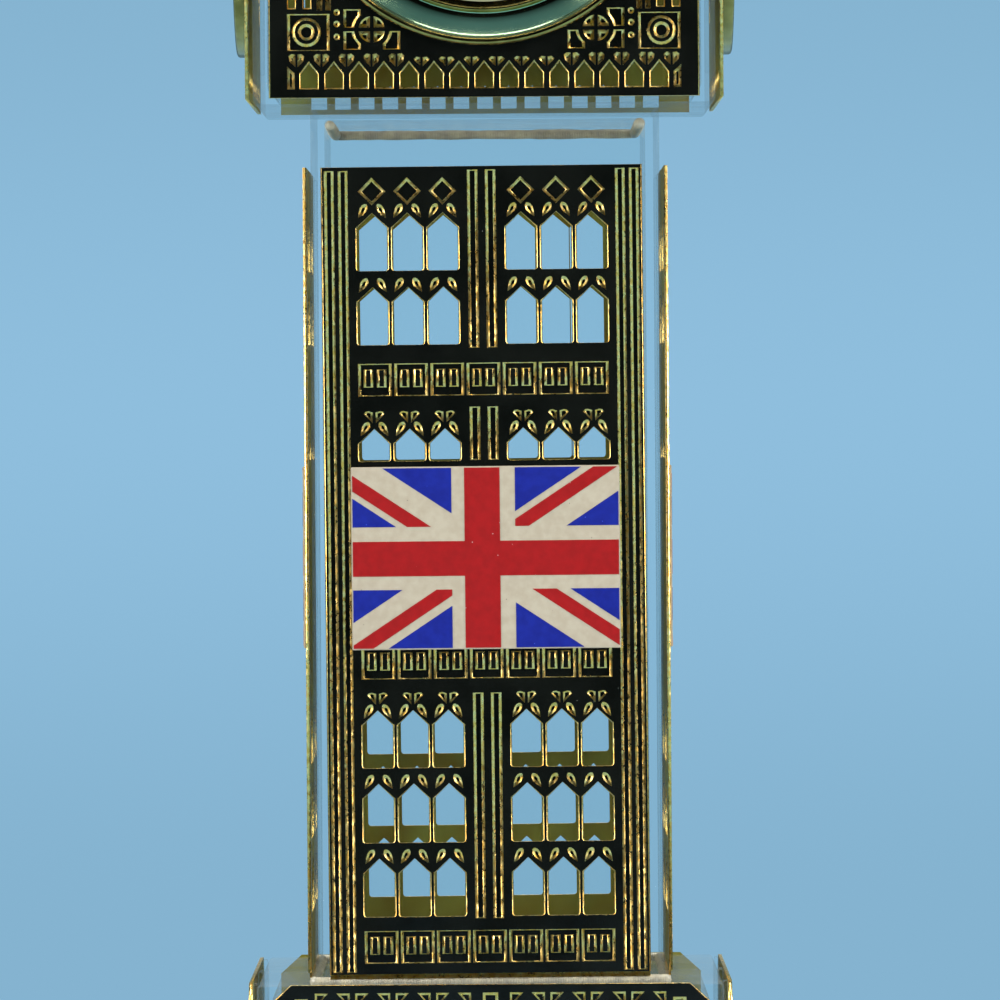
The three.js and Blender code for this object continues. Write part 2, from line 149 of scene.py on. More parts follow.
seen = add_node(
    studio,
    "ShaderNodeMath",
    {0: path.outputs["Is Camera Ray"], 1: path.outputs["Is Transmission Ray"]},
    operation="MAXIMUM",
).outputs[0]
sky = add_node(studio, "ShaderNodeMix", {0: seen, 6: room, 7: backdrop}, data_type="RGBA").outputs[2]
background = add_node(studio, "ShaderNodeBackground", {"Color": sky, "Strength": 1.0})
add_node(studio, "ShaderNodeOutputWorld", {"Surface": background.outputs[0]})


def softbox(name, place, aim, size, power):
    """A rectangular softbox that points from its place to aim."""
    lamp = bpy.data.lights.new(name, "AREA")
    lamp.shape = "RECTANGLE"
    lamp.size, lamp.size_y = size
    lamp.energy = power
    box = bpy.data.objects.new(name, lamp)
    bpy.context.scene.collection.objects.link(box)
    box.location = place
    box.rotation_euler = (Vector(aim) - Vector(place)).to_track_quat("-Z", "Y").to_euler()
    box.visible_camera = False
    return box


softbox("softbox_left", (-0.82, -0.22, 0.34), (0, 0, 0.1), (0.55, 1.2), 21)
softbox("softbox_right", (0.82, -0.22, 0.34), (0, 0, 0.1), (0.55, 1.2), 21)
softbox("softbox_overhead", (0, 0.2, 1.1), (0, 0, 0.1), (0.8, 0.6), 13)
front_fill = softbox("softbox_front", (0, -0.9, 0.2), (0, 0, 0.08), (0.6, 0.4), 5)
front_fill.visible_glossy = False

FLOOR_REACH = 0.3
floor_mesh = bpy.data.meshes.new("floor")
floor_form = bmesh.new()
bmesh.ops.create_grid(floor_form, x_segments=8, y_segments=8, size=FLOOR_REACH)
floor_form.to_mesh(floor_mesh)
floor_form.free()
floor = bpy.data.objects.new("floor", floor_mesh)
bpy.context.scene.collection.objects.link(floor)
floor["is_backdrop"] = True


def new_material(name):
    """A material with one Principled shader, returned with its node tree and that shader."""
    made = bpy.data.materials.new(name)
    made.use_nodes = True
    made.node_tree.nodes.clear()
    shader = add_node(made.node_tree, "ShaderNodeBsdfPrincipled")
    add_node(made.node_tree, "ShaderNodeOutputMaterial", {"Surface": shader.outputs[0]})
    return made, made.node_tree, shader


def place_in(tree):
    """The object coordinates that every pattern of a material reads."""
    return add_node(tree, "ShaderNodeTexCoord").outputs["Object"]


def per_metre(size_mm):
    """The scale of a pattern whose features are that many millimetres across."""
    return 1 / (size_mm * MM)


def speckled(tree, low, high, size_mm, detail=3.0, rough=0.5):
    """A colour that wanders between two hex values over patches of that size."""
    noise = add_node(
        tree,
        "ShaderNodeTexNoise",
        {"Vector": place_in(tree), "Scale": per_metre(size_mm), "Detail": detail, "Roughness": rough},
    )
    ramp = add_node(
        tree, "ShaderNodeMapRange", {"Value": noise.outputs[0], "From Min": 0.35, "From Max": 0.65}
    )
    return add_node(
        tree,
        "ShaderNodeMix",
        {0: ramp.outputs[0], 6: linear(low), 7: linear(high)},
        data_type="RGBA",
    ).outputs[2]


def bumped(tree, size_mm, depth_mm, detail=2.0, strength=1.0):
    """A normal roughened by noise of that size and depth."""
    noise = add_node(
        tree,
        "ShaderNodeTexNoise",
        {"Vector": place_in(tree), "Scale": per_metre(size_mm), "Detail": detail},
    )
    return add_node(
        tree,
        "ShaderNodeBump",
        {"Height": noise.outputs[0], "Distance": depth_mm * MM, "Strength": strength},
    ).outputs[0]


def varied(tree, low, high, size_mm):
    """A number that wanders between low and high over patches of that size."""
    noise = add_node(
        tree,
        "ShaderNodeTexNoise",
        {"Vector": place_in(tree), "Scale": per_metre(size_mm), "Detail": 3.0},
    )
    return add_node(
        tree,
        "ShaderNodeMapRange",
        {"Value": noise.outputs[0], "From Min": 0.3, "From Max": 0.7, "To Min": low, "To Max": high},
    ).outputs[0]


def finished(name, low, high, patch_mm, gloss, grain, metallic=0.0, mottle=3.0):
    """A material whose colour wanders between two hex values over patches of that size. Gloss is its least and most
    roughness and the size of their patches; grain is the size and depth of its bumps, and their detail."""
    made, tree, shader = new_material(name)
    shader.inputs["Metallic"].default_value = metallic
    tree.links.new(speckled(tree, low, high, patch_mm, mottle), shader.inputs["Base Color"])
    tree.links.new(varied(tree, *gloss), shader.inputs["Roughness"])
    tree.links.new(bumped(tree, *grain), shader.inputs["Normal"])
    return made


# Matt paper: long soft fibres give it a faint mottle and no gloss.
sweep_paper, tree, shader = new_material("sweep_paper_matt")
shader.inputs["Roughness"].default_value = 0.95
shader.inputs["Specular IOR Level"].default_value = 0.1
tree.links.new(speckled(tree, "#66899c", "#6a8d9f", 40), shader.inputs["Base Color"])
tree.links.new(bumped(tree, 0.8, 0.02), shader.inputs["Normal"])
floor_mesh.materials.append(sweep_paper)


def wear(obj, material):
    """Gives a piece one material in place of whatever its mesh holds."""
    obj.data.materials.clear()
    obj.data.materials.append(material)


def as_piece(name, mesh):
    """A piece whose place is in its mesh."""
    mesh.name = name
    obj = bpy.data.objects.new(name, mesh)
    bpy.context.scene.collection.objects.link(obj)
    return obj


def copy_of(node):
    """The CAD node's mesh with its loose triangles merged and its flat faces made whole."""
    form = bmesh.new()
    form.from_mesh(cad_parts[node].data)
    bmesh.ops.remove_doubles(form, verts=form.verts, dist=0.002 * MM)
    bmesh.ops.dissolve_limit(form, angle_limit=0.002, verts=form.verts, edges=form.edges)
    mesh = bpy.data.meshes.new(node)
    form.to_mesh(mesh)
    form.free()
    return mesh


def round_edges(obj, width_mm, segments=3, sharper_than=math.radians(35)):
    """Rounds a piece's sharp edges and keeps its flat faces flat."""
    edge = obj.modifiers.new("rounded_edges", "BEVEL")
    edge.width = width_mm * MM
    edge.segments = segments
    edge.limit_method = "ANGLE"
    edge.angle_limit = sharper_than
    return apply_modifiers(obj)


def apply_modifiers(obj):
    """Turns the evaluated piece into a plain mesh without modifiers."""
    bpy.context.view_layer.update()
    graph = bpy.context.evaluated_depsgraph_get()
    mesh = bpy.data.meshes.new_from_object(obj.evaluated_get(graph), depsgraph=graph)
    obj.modifiers.clear()
    obj.data = mesh
    return obj


# --- Felt pad and foot plate -------------------------------------------------------------------------
# A square of wool felt is glued under a pressed steel foot plate, which is lacquered black. The foot
# keeps the light acrylic tower from tipping.

PAD_ROUNDING = 0.25
FOOT_ROUNDING = 0.15

# Pressed wool felt: matted fibres half a millimetre apart make a soft, dull and slightly uneven green.
wool_felt, tree, shader = new_material("wool_felt_pressed")
shader.inputs["Roughness"].default_value = 0.95
shader.inputs["Sheen Weight"].default_value = 0.4
tree.links.new(speckled(tree, "#14211a", "#22332a", 0.5, 5.0), shader.inputs["Base Color"])
tree.links.new(bumped(tree, 0.35, 0.15, 4.0), shader.inputs["Normal"])

felt_pad = as_piece("felt_pad_fibre", copy_of("felt_pad"))
wear(felt_pad, wool_felt)
round_edges(felt_pad, PAD_ROUNDING)
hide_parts("felt_pad")
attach(felt_pad, "tower")

# Stoved black lacquer, and painted reflection: a thick, glossy black skin with dust nibs, faint orange peel and
# hairline rubs.
# On the struck faces of plates, roof and spire this black is painted: those faces are polished gilt, and the dark
# room they mirror is put into their colour.
DUST_SPACING = 1.6
DUST_SIZE = 0.022  # of the spacing
black_lacquer_and_painted_reflection, tree, shader = new_material("black_lacquer_and_painted_dark_reflection")
place = place_in(tree)
specks = add_node(tree, "ShaderNodeTexVoronoi", {"Vector": place, "Scale": per_metre(DUST_SPACING)})
speck_chance = add_node(tree, "ShaderNodeSeparateColor", {"Color": specks.outputs["Color"]}).outputs[0]
near = add_node(tree, "ShaderNodeMath", {0: specks.outputs["Distance"], 1: DUST_SIZE}, operation="LESS_THAN")
kept = add_node(tree, "ShaderNodeMath", {0: speck_chance, 1: 0.55}, operation="GREATER_THAN")
dust = add_node(tree, "ShaderNodeMath", {0: near.outputs[0], 1: kept.outputs[0]}, operation="MULTIPLY").outputs[0]
black = speckled(tree, "#080a08", "#0f110e", 4)
dusty = add_node(tree, "ShaderNodeMix", {0: dust, 6: black, 7: linear("#5c5f57")}, data_type="RGBA").outputs[2]
tree.links.new(dusty, shader.inputs["Base Color"])
tree.links.new(varied(tree, 0.08, 0.16, 2.5), shader.inputs["Roughness"])
tree.links.new(bumped(tree, 1.2, 0.002), shader.inputs["Normal"])
shader.inputs["Specular IOR Level"].default_value = 0.35

foot_plate = as_piece("foot_plate_pressed", copy_of("foot_plate"))
wear(foot_plate, black_lacquer_and_painted_reflection)
round_edges(foot_plate, FOOT_ROUNDING, sharper_than=math.radians(20))
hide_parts("foot_plate")
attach(foot_plate, "tower")

# --- Clear boxes -----------------------------------------------------------------------------------------
# Four boxes of clear acrylic with one-millimetre walls carry the whole tower. Each is moulded in one
# piece, with softened corners, and cemented on the one below.

CORNER_ROUNDING = {"base_box": 0.3, "shaft_box": 0.25, "clock_box": 0.45, "belfry_box": 0.25}

# Moulded acrylic: water-clear thin walls that let the light straight through. Seen along the surface they
# turn a soft grey and take a gloss, which draws the edges of the box.
clear_acrylic, tree, shader = new_material("clear_acrylic_moulded")
shader.inputs["Base Color"].default_value = linear("#b9bfbe")
shader.inputs["Roughness"].default_value = 0.12
shader.inputs["IOR"].default_value = 1.49
shader.inputs["Coat Weight"].default_value = 0.3
output = next(n for n in tree.nodes if n.type == "OUTPUT_MATERIAL")
grazing = add_node(tree, "ShaderNodeLayerWeight", {"Blend": 0.5}).outputs["Facing"]
rim = add_node(
    tree,
    "ShaderNodeMapRange",
    {"Value": grazing, "From Min": 0.8, "From Max": 1.0, "To Min": 0.003, "To Max": 0.34},
    interpolation_type="SMOOTHSTEP",
).outputs[0]
haze = varied(tree, 0.75, 1.25, 3)
cloud = add_node(tree, "ShaderNodeMath", {0: rim, 1: haze}, operation="MULTIPLY").outputs[0]
open_way = add_node(tree, "ShaderNodeBsdfTransparent", {"Color": linear("#fbfdfd")}).outputs[0]
surface = add_node(tree, "ShaderNodeMixShader", {0: cloud, 1: open_way, 2: shader.outputs[0]})
tree.links.new(surface.outputs[0], output.inputs["Surface"])
tree.links.new(bumped(tree, 5, 0.01), shader.inputs["Normal"])

for node, rounding in CORNER_ROUNDING.items():
    box = as_piece(f"{node}_moulded", copy_of(node))
    wear(box, clear_acrylic)
    round_edges(box, rounding)
    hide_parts(node)
    box.visible_shadow = False
    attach(box, "tower")

# --- Engraved face plates: how they are made ------------------------------------------------------------
# Brass sheet is die-struck, pierced with windows, gilt all over, and stuck on with strips of clear adhesive. The flat
# face is painted black: a painted reflection that stands for polished gilt mirroring the dark room. The sloping walls
# show the gilt, so each recess shows as two gilt lines.

PLATE_THICK = 0.26
FILM_THICK = 0.32
STEEP = 0.35  # run of a steep level wall, as a share of the usual one
WALL_RUN = 0.2  # width of a sloping wall as seen from the front
ENGRAVING = 0.22  # depth of a blind recess
EDGE_RUN = 0.5  # of WALL_RUN: how far the plate's upright edges slope outwards
LEVEL_EDGE_RUN = 0.1  # of WALL_RUN: the same for its level edges

# Rubbed gilding over struck brass: a bright skin, hammered into beads half a millimetre long by the die's
# tool marks, that glint one by one.
rubbed_gilt = finished(
    "rubbed_gilt_struck", "#f4bd56", "#ffe08e", 0.35, (0.24, 0.36, 0.3), (0.42, 0.055, 0.3), 1.0
)

# The back of the brass sheet: bare and rolled, with no gilding or black. Its dull dark olive is painted shade:
# the same gold, darkened into the colour as it looks in shadow behind the windows.
brass_back_in_painted_shade = finished(
    "rolled_brass_painted_shade", "#786712", "#80802f", 5, (0.35, 0.55, 1.5), (0.8, 0.01), 0.25
)

INPUT_KINDS = {
    "Wall run": ("NodeSocketFloat", WALL_RUN),
    "Engraving depth": ("NodeSocketFloat", ENGRAVING),
    "Plate thickness": ("NodeSocketFloat", PLATE_THICK),
    # Face: black painted in place of the dark reflection on polished gilt.
    "Face": ("NodeSocketMaterial", black_lacquer_and_painted_reflection),
    "Walls": ("NodeSocketMaterial", rubbed_gilt),
    "Back": ("NodeSocketMaterial", brass_back_in_painted_shade),
}


def start_tree(name, inputs):
    """A Geometry Nodes tree with named inputs, returned with its input node and a dict of their identifiers."""
    tree = bpy.data.node_groups.new(name, "GeometryNodeTree")
    tree.interface.new_socket("Geometry", in_out="INPUT", socket_type="NodeSocketGeometry")
    tree.interface.new_socket("Geometry", in_out="OUTPUT", socket_type="NodeSocketGeometry")
    identifiers = {}
    for label, (kind, _) in inputs.items():
        socket = tree.interface.new_socket(label, in_out="INPUT", socket_type=kind)
        identifiers[label] = socket.identifier
    return tree, add_node(tree, "NodeGroupInput"), identifiers


def run_tree(name, mesh, tree, identifiers, inputs):
    """The plain mesh that a Geometry Nodes tree makes out of mesh."""
    seed = bpy.data.objects.new(name, mesh)
    bpy.context.scene.collection.objects.link(seed)
    modifier = seed.modifiers.new("made", "NODES")
    modifier.node_group = tree
    for label, (_, value) in inputs.items():
        modifier[identifiers[label]] = value
    bpy.context.view_layer.update()
    graph = bpy.context.evaluated_depsgraph_get()
    made = bpy.data.meshes.new_from_object(seed.evaluated_get(graph), depsgraph=graph)
    bpy.data.objects.remove(seed)
    return made


def dressed(tree, geometry, finishes):
    """Ends a tree: realises its instances and sets one material for each value of the finish attribute."""
    whole = add_node(tree, "GeometryNodeRealizeInstances", {"Geometry": geometry}).outputs[0]
    finish = add_node(tree, "GeometryNodeInputNamedAttribute", {"Name": "finish"}, data_type="INT").outputs[0]
    for value, material in enumerate(finishes):
        chosen = add_node(
            tree, "FunctionNodeCompare", {2: finish, 3: value}, data_type="INT", operation="EQUAL"
        ).outputs[0]
        whole = add_node(
            tree, "GeometryNodeSetMaterial", {"Geometry": whole, "Selection": chosen, "Material": material}
        ).outputs[0]
    add_node(tree, "NodeGroupOutput", {"Geometry": whole})
    return tree


def marked(tree, geometry, finish):
    """The same faces, carrying the number of their finish."""
    return add_node(
        tree,
        "GeometryNodeStoreNamedAttribute",
        {"Geometry": geometry, "Name": "finish", "Value": finish},
        data_type="INT",
        domain="FACE",
    ).outputs[0]


# The seed mesh holds the relief's outlines as closed loops of edges. Each point leans towards the hollow
# side by one unit, and each loop says whether it cuts through the sheet.
engraving, given, engraving_sockets = start_tree("engraved_plate", INPUT_KINDS)
lean = add_node(
    engraving, "GeometryNodeInputNamedAttribute", {"Name": "lean"}, data_type="FLOAT_VECTOR"
).outputs[0]
cuts_through = add_node(
    engraving, "GeometryNodeInputNamedAttribute", {"Name": "through"}, data_type="BOOLEAN"
).outputs[0]
run_out = add_node(
    engraving, "ShaderNodeVectorMath", {0: lean, "Scale": given.outputs["Wall run"]}, operation="SCALE"
).outputs[0]
depth = add_node(
    engraving,
    "GeometryNodeSwitch",
    {0: cuts_through, 1: given.outputs["Engraving depth"], 2: given.outputs["Plate thickness"]},
    input_type="FLOAT",
).outputs[0]
down = add_node(engraving, "ShaderNodeMath", {0: depth, 1: -1.0}, operation="MULTIPLY").outputs[0]
drop = add_node(engraving, "ShaderNodeCombineXYZ", {"Z": down}).outputs[0]
slope = add_node(engraving, "ShaderNodeVectorMath", {0: run_out, 1: drop}, operation="ADD").outputs[0]

walls = add_node(
    engraving, "GeometryNodeExtrudeMesh", {"Mesh": given.outputs[0], "Offset Scale": 0.0}, mode="EDGES"
)
walls = add_node(
    engraving,
    "GeometryNodeSetPosition",
    {"Geometry": walls.outputs["Mesh"], "Selection": walls.outputs["Top"], "Offset": slope},
).outputs[0]

rims = add_node(engraving, "GeometryNodeMeshToCurve", {0: given.outputs[0]}).outputs[0]
face = add_node(engraving, "GeometryNodeFillCurve", {0: rims}).outputs[0]

feet = add_node(engraving, "GeometryNodeSetPosition", {"Geometry": given.outputs[0], "Offset": run_out}).outputs[0]
blind_feet = add_node(engraving, "GeometryNodeDeleteGeometry", {"Geometry": feet, "Selection": cuts_through})
blind_rims = add_node(engraving, "GeometryNodeMeshToCurve", {0: blind_feet.outputs[0]}).outputs[0]
floors = add_node(engraving, "GeometryNodeFillCurve", {0: blind_rims}).outputs[0]
floor_drop = add_node(
    engraving, "ShaderNodeMath", {0: given.outputs["Engraving depth"], 1: -1.0}, operation="MULTIPLY"
).outputs[0]
floor_place = add_node(engraving, "ShaderNodeCombineXYZ", {"Z": floor_drop}).outputs[0]
floors = add_node(
    engraving, "GeometryNodeTransform", {"Geometry": floors, "Translation": floor_place}
).outputs[0]

is_blind = add_node(engraving, "FunctionNodeBooleanMath", {0: cuts_through}, operation="NOT").outputs[0]
open_feet = add_node(engraving, "GeometryNodeDeleteGeometry", {"Geometry": feet, "Selection": is_blind})
open_rims = add_node(engraving, "GeometryNodeMeshToCurve", {0: open_feet.outputs[0]}).outputs[0]
back = add_node(engraving, "GeometryNodeFillCurve", {0: open_rims}).outputs[0]
back = add_node(engraving, "GeometryNodeFlipFaces", {0: back}).outputs[0]
back_drop = add_node(
    engraving, "ShaderNodeMath", {0: given.outputs["Plate thickness"], 1: -1.0}, operation="MULTIPLY"
).outputs[0]
back_place = add_node(engraving, "ShaderNodeCombineXYZ", {"Z": back_drop}).outputs[0]
back = add_node(engraving, "GeometryNodeTransform", {"Geometry": back, "Translation": back_place}).outputs[0]

joined = add_node(engraving, "GeometryNodeJoinGeometry")
for part, finish in ((face, 0), (floors, 0), (walls, 1), (back, 2)):
    engraving.links.new(marked(engraving, part, finish), joined.inputs[0])
welded = add_node(engraving, "GeometryNodeMergeByDistance", {"Geometry": joined.outputs[0], "Distance": 0.003})
dressed(
    engraving, welded.outputs[0], [given.outputs["Face"], given.outputs["Walls"], given.outputs["Back"]]
)


def turned_area(points):
    """Twice the signed area of a loop: positive if it runs anticlockwise."""
    return sum(a[0] * b[1] - b[0] * a[1] for a, b in zip(points, points[1:] + points[:1]))


def mitres(points, amount):
    """For each corner of a loop, the way in that keeps every side parallel to itself, times amount."""
    sign = 1 if turned_area(points) > 0 else -1
    leans = []
    for i, here in enumerate(points):
        before, after = points[i - 1], points[(i + 1) % len(points)]
        first = (Vector(here) - Vector(before)).normalized()
        second = (Vector(after) - Vector(here)).normalized()
        across = Vector((-first.y - second.y, first.x + second.x)) * sign
        share = max(0.35, 1 + first.dot(second))
        leans.append(across / share * amount)
    return leans


def inwards(points, share):
    """For each corner of a small loop, a move towards its middle by a share of the way."""
    middle = Vector((sum(p[0] for p in points), sum(p[1] for p in points))) / len(points)
    return [(middle - Vector(p)) * share / WALL_RUN for p in points]


def recess(points):
    return points, mitres(points, 1.0), False


def upright(points, amount=1.0):
    """A blind recess, or an island if amount is negative, whose level walls are steep and hardly show."""
    return points, [Vector((way.x, way.y * STEEP)) for way in mitres(points, amount)], False


def dimple(points, share=0.62):
    return points, inwards(points, share), False


def island(points):
    return points, mitres(points, -1.0), False


def opening(points):
    return points, mitres(points, 0.5), True


def plate_edge(points, amount=None):
    if amount is not None:
        return points, mitres(points, amount), True
    ways = [Vector((way.x * EDGE_RUN, way.y * LEVEL_EDGE_RUN)) for way in mitres(points, -1.0)]
    return points, ways, True


def hollow_on_the_left(points, ways):
    """Turns a loop so that its sloping wall always faces the hollow that it bounds."""
    moved = [(x + way.x * 0.01, y + way.y * 0.01) for (x, y), way in zip(points, ways)]
    grows = abs(turned_area(moved)) > abs(turned_area(points))
    if grows == (turned_area(points) > 0):
        return points, ways
    return points[::-1], ways[::-1]


def engrave(name, loops, inputs=INPUT_KINDS):
    """Strikes and pierces one plate, drawn in millimetres: x to the right, y up, the face on z = 0."""
    seed = bpy.data.meshes.new(name)
    corners, edges, leans, through = [], [], [], []
    for points, ways, cuts in loops:
        points, ways = hollow_on_the_left(points, ways)
        first, count = len(corners), len(points)
        corners += [(x, y, 0) for x, y in points]
        edges += [(first + i, first + (i + 1) % count) for i in range(count)]
        leans += [part for way in ways for part in (way.x, way.y, 0.0)]
        through += [cuts] * count
    seed.from_pydata(corners, edges, [])
    seed.attributes.new("lean", "FLOAT_VECTOR", "POINT").data.foreach_set("vector", leans)
    seed.attributes.new("through", "BOOLEAN", "POINT").data.foreach_set("value", through)
    made = run_tree(name, seed, engraving, engraving_sockets, inputs)
    made.attributes.remove(made.attributes["finish"])
    return made


def slab(form, points, back, front, material_index=0):
    """Adds a flat prism to a bmesh, drawn in x and y."""
    if turned_area(points) < 0:
        points = points[::-1]
    low = [form.verts.new((x, y, back)) for x, y in points]
    high = [form.verts.new((x, y, front)) for x, y in points]
    faces = [form.faces.new(high), form.faces.new(low[::-1])]
    for i in range(len(points)):
        j = (i + 1) % len(points)
        faces.append(form.faces.new((low[i], low[j], high[j], high[i])))
    for face in faces:
        face.material_index = material_index


def mesh_of(name, form):
    mesh = bpy.data.meshes.new(name)
    form.to_mesh(mesh)
    form.free()
    return mesh


FACES = ("front", "right", "back", "left")


def stand(mesh, face, distance, lift, tilt=0.0, backwards=0.0):
    """A flat piece stood on one side of the tower: distance from the axis and lift in metres."""
    placed = mesh.copy()
    placed.transform(
        Matrix.Rotation(FACES.index(face) * math.pi / 2, 4, "Z")
        @ Matrix.Translation((0, -distance, lift))
        @ Matrix.Rotation(math.pi / 2 - backwards, 4, "X")
        @ Matrix.Rotation(tilt, 4, "Z")
        @ Matrix.Scale(MM, 4)
    )
    return placed


def hang_plates(kind, mesh, strips, tilts=(0, 0, 0, 0), front_mesh=None, back_mesh=None):
    """Puts a plate on each of the four sides, in place of the CAD plate of that kind, on strips of adhesive."""
    low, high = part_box(f"{kind}_front")
    form = bmesh.new()
    for strip in strips:
        slab(form, bar(*strip), -PLATE_THICK - 0.01 - FILM_THICK, -PLATE_THICK - 0.01)
    bmesh.ops.bevel(form, geom=form.edges[:], offset=0.06, segments=2, affect="EDGES")
    film_mesh = mesh_of("film", form)
    for face, tilt in zip(FACES, tilts):
        chosen = {"front": front_mesh, "back": back_mesh}.get(face) or mesh
        film = as_piece(f"{kind}_{face}_adhesive", stand(film_mesh, face, -low.y, low.z, tilt))
        wear(film, clear_acrylic)
        film.visible_shadow = False
        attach(film, "tower")
        plate = as_piece(f"{kind}_{face}_struck", stand(chosen, face, -low.y, low.z, tilt))
        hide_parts(f"{kind}_{face}")
        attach(plate, "tower")


# --- Outlines that the plates share ----------------------------------------------------------------------
# The struck relief is drawn from a few repeated outlines: bars, pointed windows, leaves and arcs. Each is a
# list of x and y in millimetres on the plate's face, and gets its sloping wall when the plate is struck.


def bar(left, bottom, width, tall):
    return [(left, bottom), (left + width, bottom), (left + width, bottom + tall), (left, bottom + tall)]


def arc(x, y, radius, start, stop, steps):
    """Points on a circle from one angle to another, in degrees."""
    angles = [math.radians(start + (stop - start) * i / steps) for i in range(steps + 1)]
    return [(x + radius * math.cos(a), y + radius * math.sin(a)) for a in angles]


def ring(x, y, radius, sides=20):
    return arc(x, y, radius, 0, 360 * (1 - 1 / sides), sides - 1)


def reed(x, bottom, top, width):
    """A long groove with a square head, centred on x."""
    return bar(x - width / 2, bottom, width, top - bottom)


def window(x, sill, width, tall, shoulder, corner=0.0):
    """A pointed opening: its slopes fall from the apex by the height of the shoulder."""
    half, apex = width / 2, sill + tall
    top = [(x + half, apex - shoulder), (x, apex), (x - half, apex - shoulder)]
    if not corner:
        return [(x - half, sill), (x + half, sill)] + top
    left = arc(x - half + corner, sill + corner, corner, 180, 270, 3)
    right = arc(x + half - corner, sill + corner, corner, 270, 360, 3)
    return left + right + top


def leaf(tip, butt, half_width):
    """A teardrop from its narrow tip to its round butt."""
    tip, butt = Vector(tip), Vector(butt)
    along = (butt - tip).normalized()
    across = Vector((-along.y, along.x)) * half_width
    length = (butt - tip).length
    stations = [(0.3, 0.62), (0.58, 0.98), (0.8, 0.9), (0.94, 0.5)]
    left = [tip + along * length * s + across * w for s, w in stations]
    right = [tip + along * length * s - across * w for s, w in reversed(stations)]
    return [tuple(p) for p in [tip, *left, butt, *right]]


def mirrored(points):
    return [(-x, y) for x, y in points]


def both_sides(draw, points):
    return [draw(points), draw(mirrored(points))]


# --- Shaft plates ------------------------------------------------------------------------------------------
# The tall plates between base and clock: two bays of three pointed windows in six tiers, three friezes,
# and reeded shafts at the edges and up the middle. The front one was stuck on a little askew.

SHAFT_WIDE, SHAFT_TALL = 23.2, 58.0
BORDER_REEDS = (10.0, 11.0)  # distance of each pair's middles from the plate's middle
REED_WIDE = 0.7
CENTRE_REED = 0.65
CENTRE_REED_WIDE = 0.76
CENTRE_REED_RUNS = ((45.0, 57.85), (36.9, 40.75), (3.8, 20.1))
BAY_WINDOWS = (2.82, 5.37, 7.92)
WINDOW_WIDE = 2.35
WINDOW_SHOULDER = 1.07
SILL_CORNER = 0.22
# sill, height of the opening, and how far its leaves hang below their usual place
TIERS = (
    (50.6, 4.2, 0.0),
    (45.25, 4.2, 0.0),
    (36.85, 2.37, 0.15),
    (14.7, 4.2, 0.22),
    (9.3, 4.3, 0.0),
    (3.95, 4.25, 0.0),
)
TIERS_WITH_BUTTERFLIES = (2, 3)
DIAMOND = 1.0
DIAMOND_HIGH = 56.35
FRIEZES = (41.57, 21.13, 0.6)  # bottom of each row of balusters
FRIEZE_TALL = 2.35
FRIEZE_UNITS, FRIEZE_PITCH, FRIEZE_UNIT = 7, 2.61, 2.43
BALUSTERS = (-0.48, 0.48)
ASKEW, ASKEW_BACK = 0.0048, -0.007
SHAFT_STRIPS = ((-11.4, -0.2, 2.1, 58.0), (-1.5, -0.2, 3.0, 58.0), (9.3, -0.2, 2.1, 58.0))


def frieze(bottom, tall, units, pitch, unit_wide):
    """A row of sunk frames, each with two raised balusters."""
    row = []
    for unit in range(units):
        x = (unit - (units - 1) / 2) * pitch
        row.append(upright(bar(x - unit_wide / 2, bottom, unit_wide, tall)))
        for shift in BALUSTERS:
            row.append(upright(bar(x + shift - 0.17, bottom + tall * 0.3, 0.34, tall * 0.5), -0.9))
    return row


def window_dressing(x, apex, drop, butterflies):
    """The two leaves beside a window's apex, and the butterfly above some of them."""
    dressing = []
    for side in (-1, 1):
        tip, butt = (x + side * 1.0, apex - 0.38 - drop), (x + side * 0.39, apex + 0.64 - drop)
        dressing.append(dimple(leaf(tip, butt, 0.26)))
        if butterflies:
            wing = [(0.12, 0.42), (0.75, 1.08), (0.62, 1.24), (0.42, 1.28), (0.1, 1.18)]
            dressing.append(dimple([(x + side * u, apex + v) for u, v in wing], 0.5))
    return dressing


def shaft_plate(name, wider=0.0, taller=0.0, leaning=0.5):
    """One shaft plate. The back one is pierced a little larger: wider and taller are in millimetres."""
    relief = [plate_edge(bar(-SHAFT_WIDE / 2 + 0.1, -0.16, SHAFT_WIDE - 0.2, SHAFT_TALL + 0.26))]
    for x in BORDER_REEDS:
        relief += both_sides(upright, reed(x, -0.04, SHAFT_TALL - 0.15, REED_WIDE))
    for low_end, high_end in CENTRE_REED_RUNS:
        relief += both_sides(upright, reed(CENTRE_REED, low_end, high_end, CENTRE_REED_WIDE))
    for tier, (sill, tall, drop) in enumerate(TIERS):
        high_up = tier < 3
        raised, widened = (taller, wider) if high_up else (taller / 2, 0)
        for bay_x in BAY_WINDOWS:
            for x in (bay_x, -bay_x):
                shape = window(x, sill, WINDOW_WIDE + widened, tall + raised, WINDOW_SHOULDER, SILL_CORNER)
                jambs = [Vector((way.x, way.y * 0.2)) for way in mitres(shape, leaning)]
                relief.append((shape, jambs, True))
                if not wider:
                    relief += window_dressing(x, sill + tall, drop, tier in TIERS_WITH_BUTTERFLIES)
    for x in BAY_WINDOWS:
        y = DIAMOND_HIGH
        relief += both_sides(recess, [(x - DIAMOND, y), (x, y - DIAMOND), (x + DIAMOND, y), (x, y + DIAMOND)])
    for bottom in FRIEZES:
        relief += frieze(bottom, FRIEZE_TALL, FRIEZE_UNITS, FRIEZE_PITCH, FRIEZE_UNIT)
    struck = engrave(name, relief)
    form = bmesh.new()
    form.from_mesh(struck)
    slab(form, bar(-SHAFT_WIDE / 2 + 0.05, -0.5, SHAFT_WIDE - 0.1, 0.4), -PLATE_THICK, -0.12, 2)
    form.to_mesh(struck)
    form.free()
    return struck


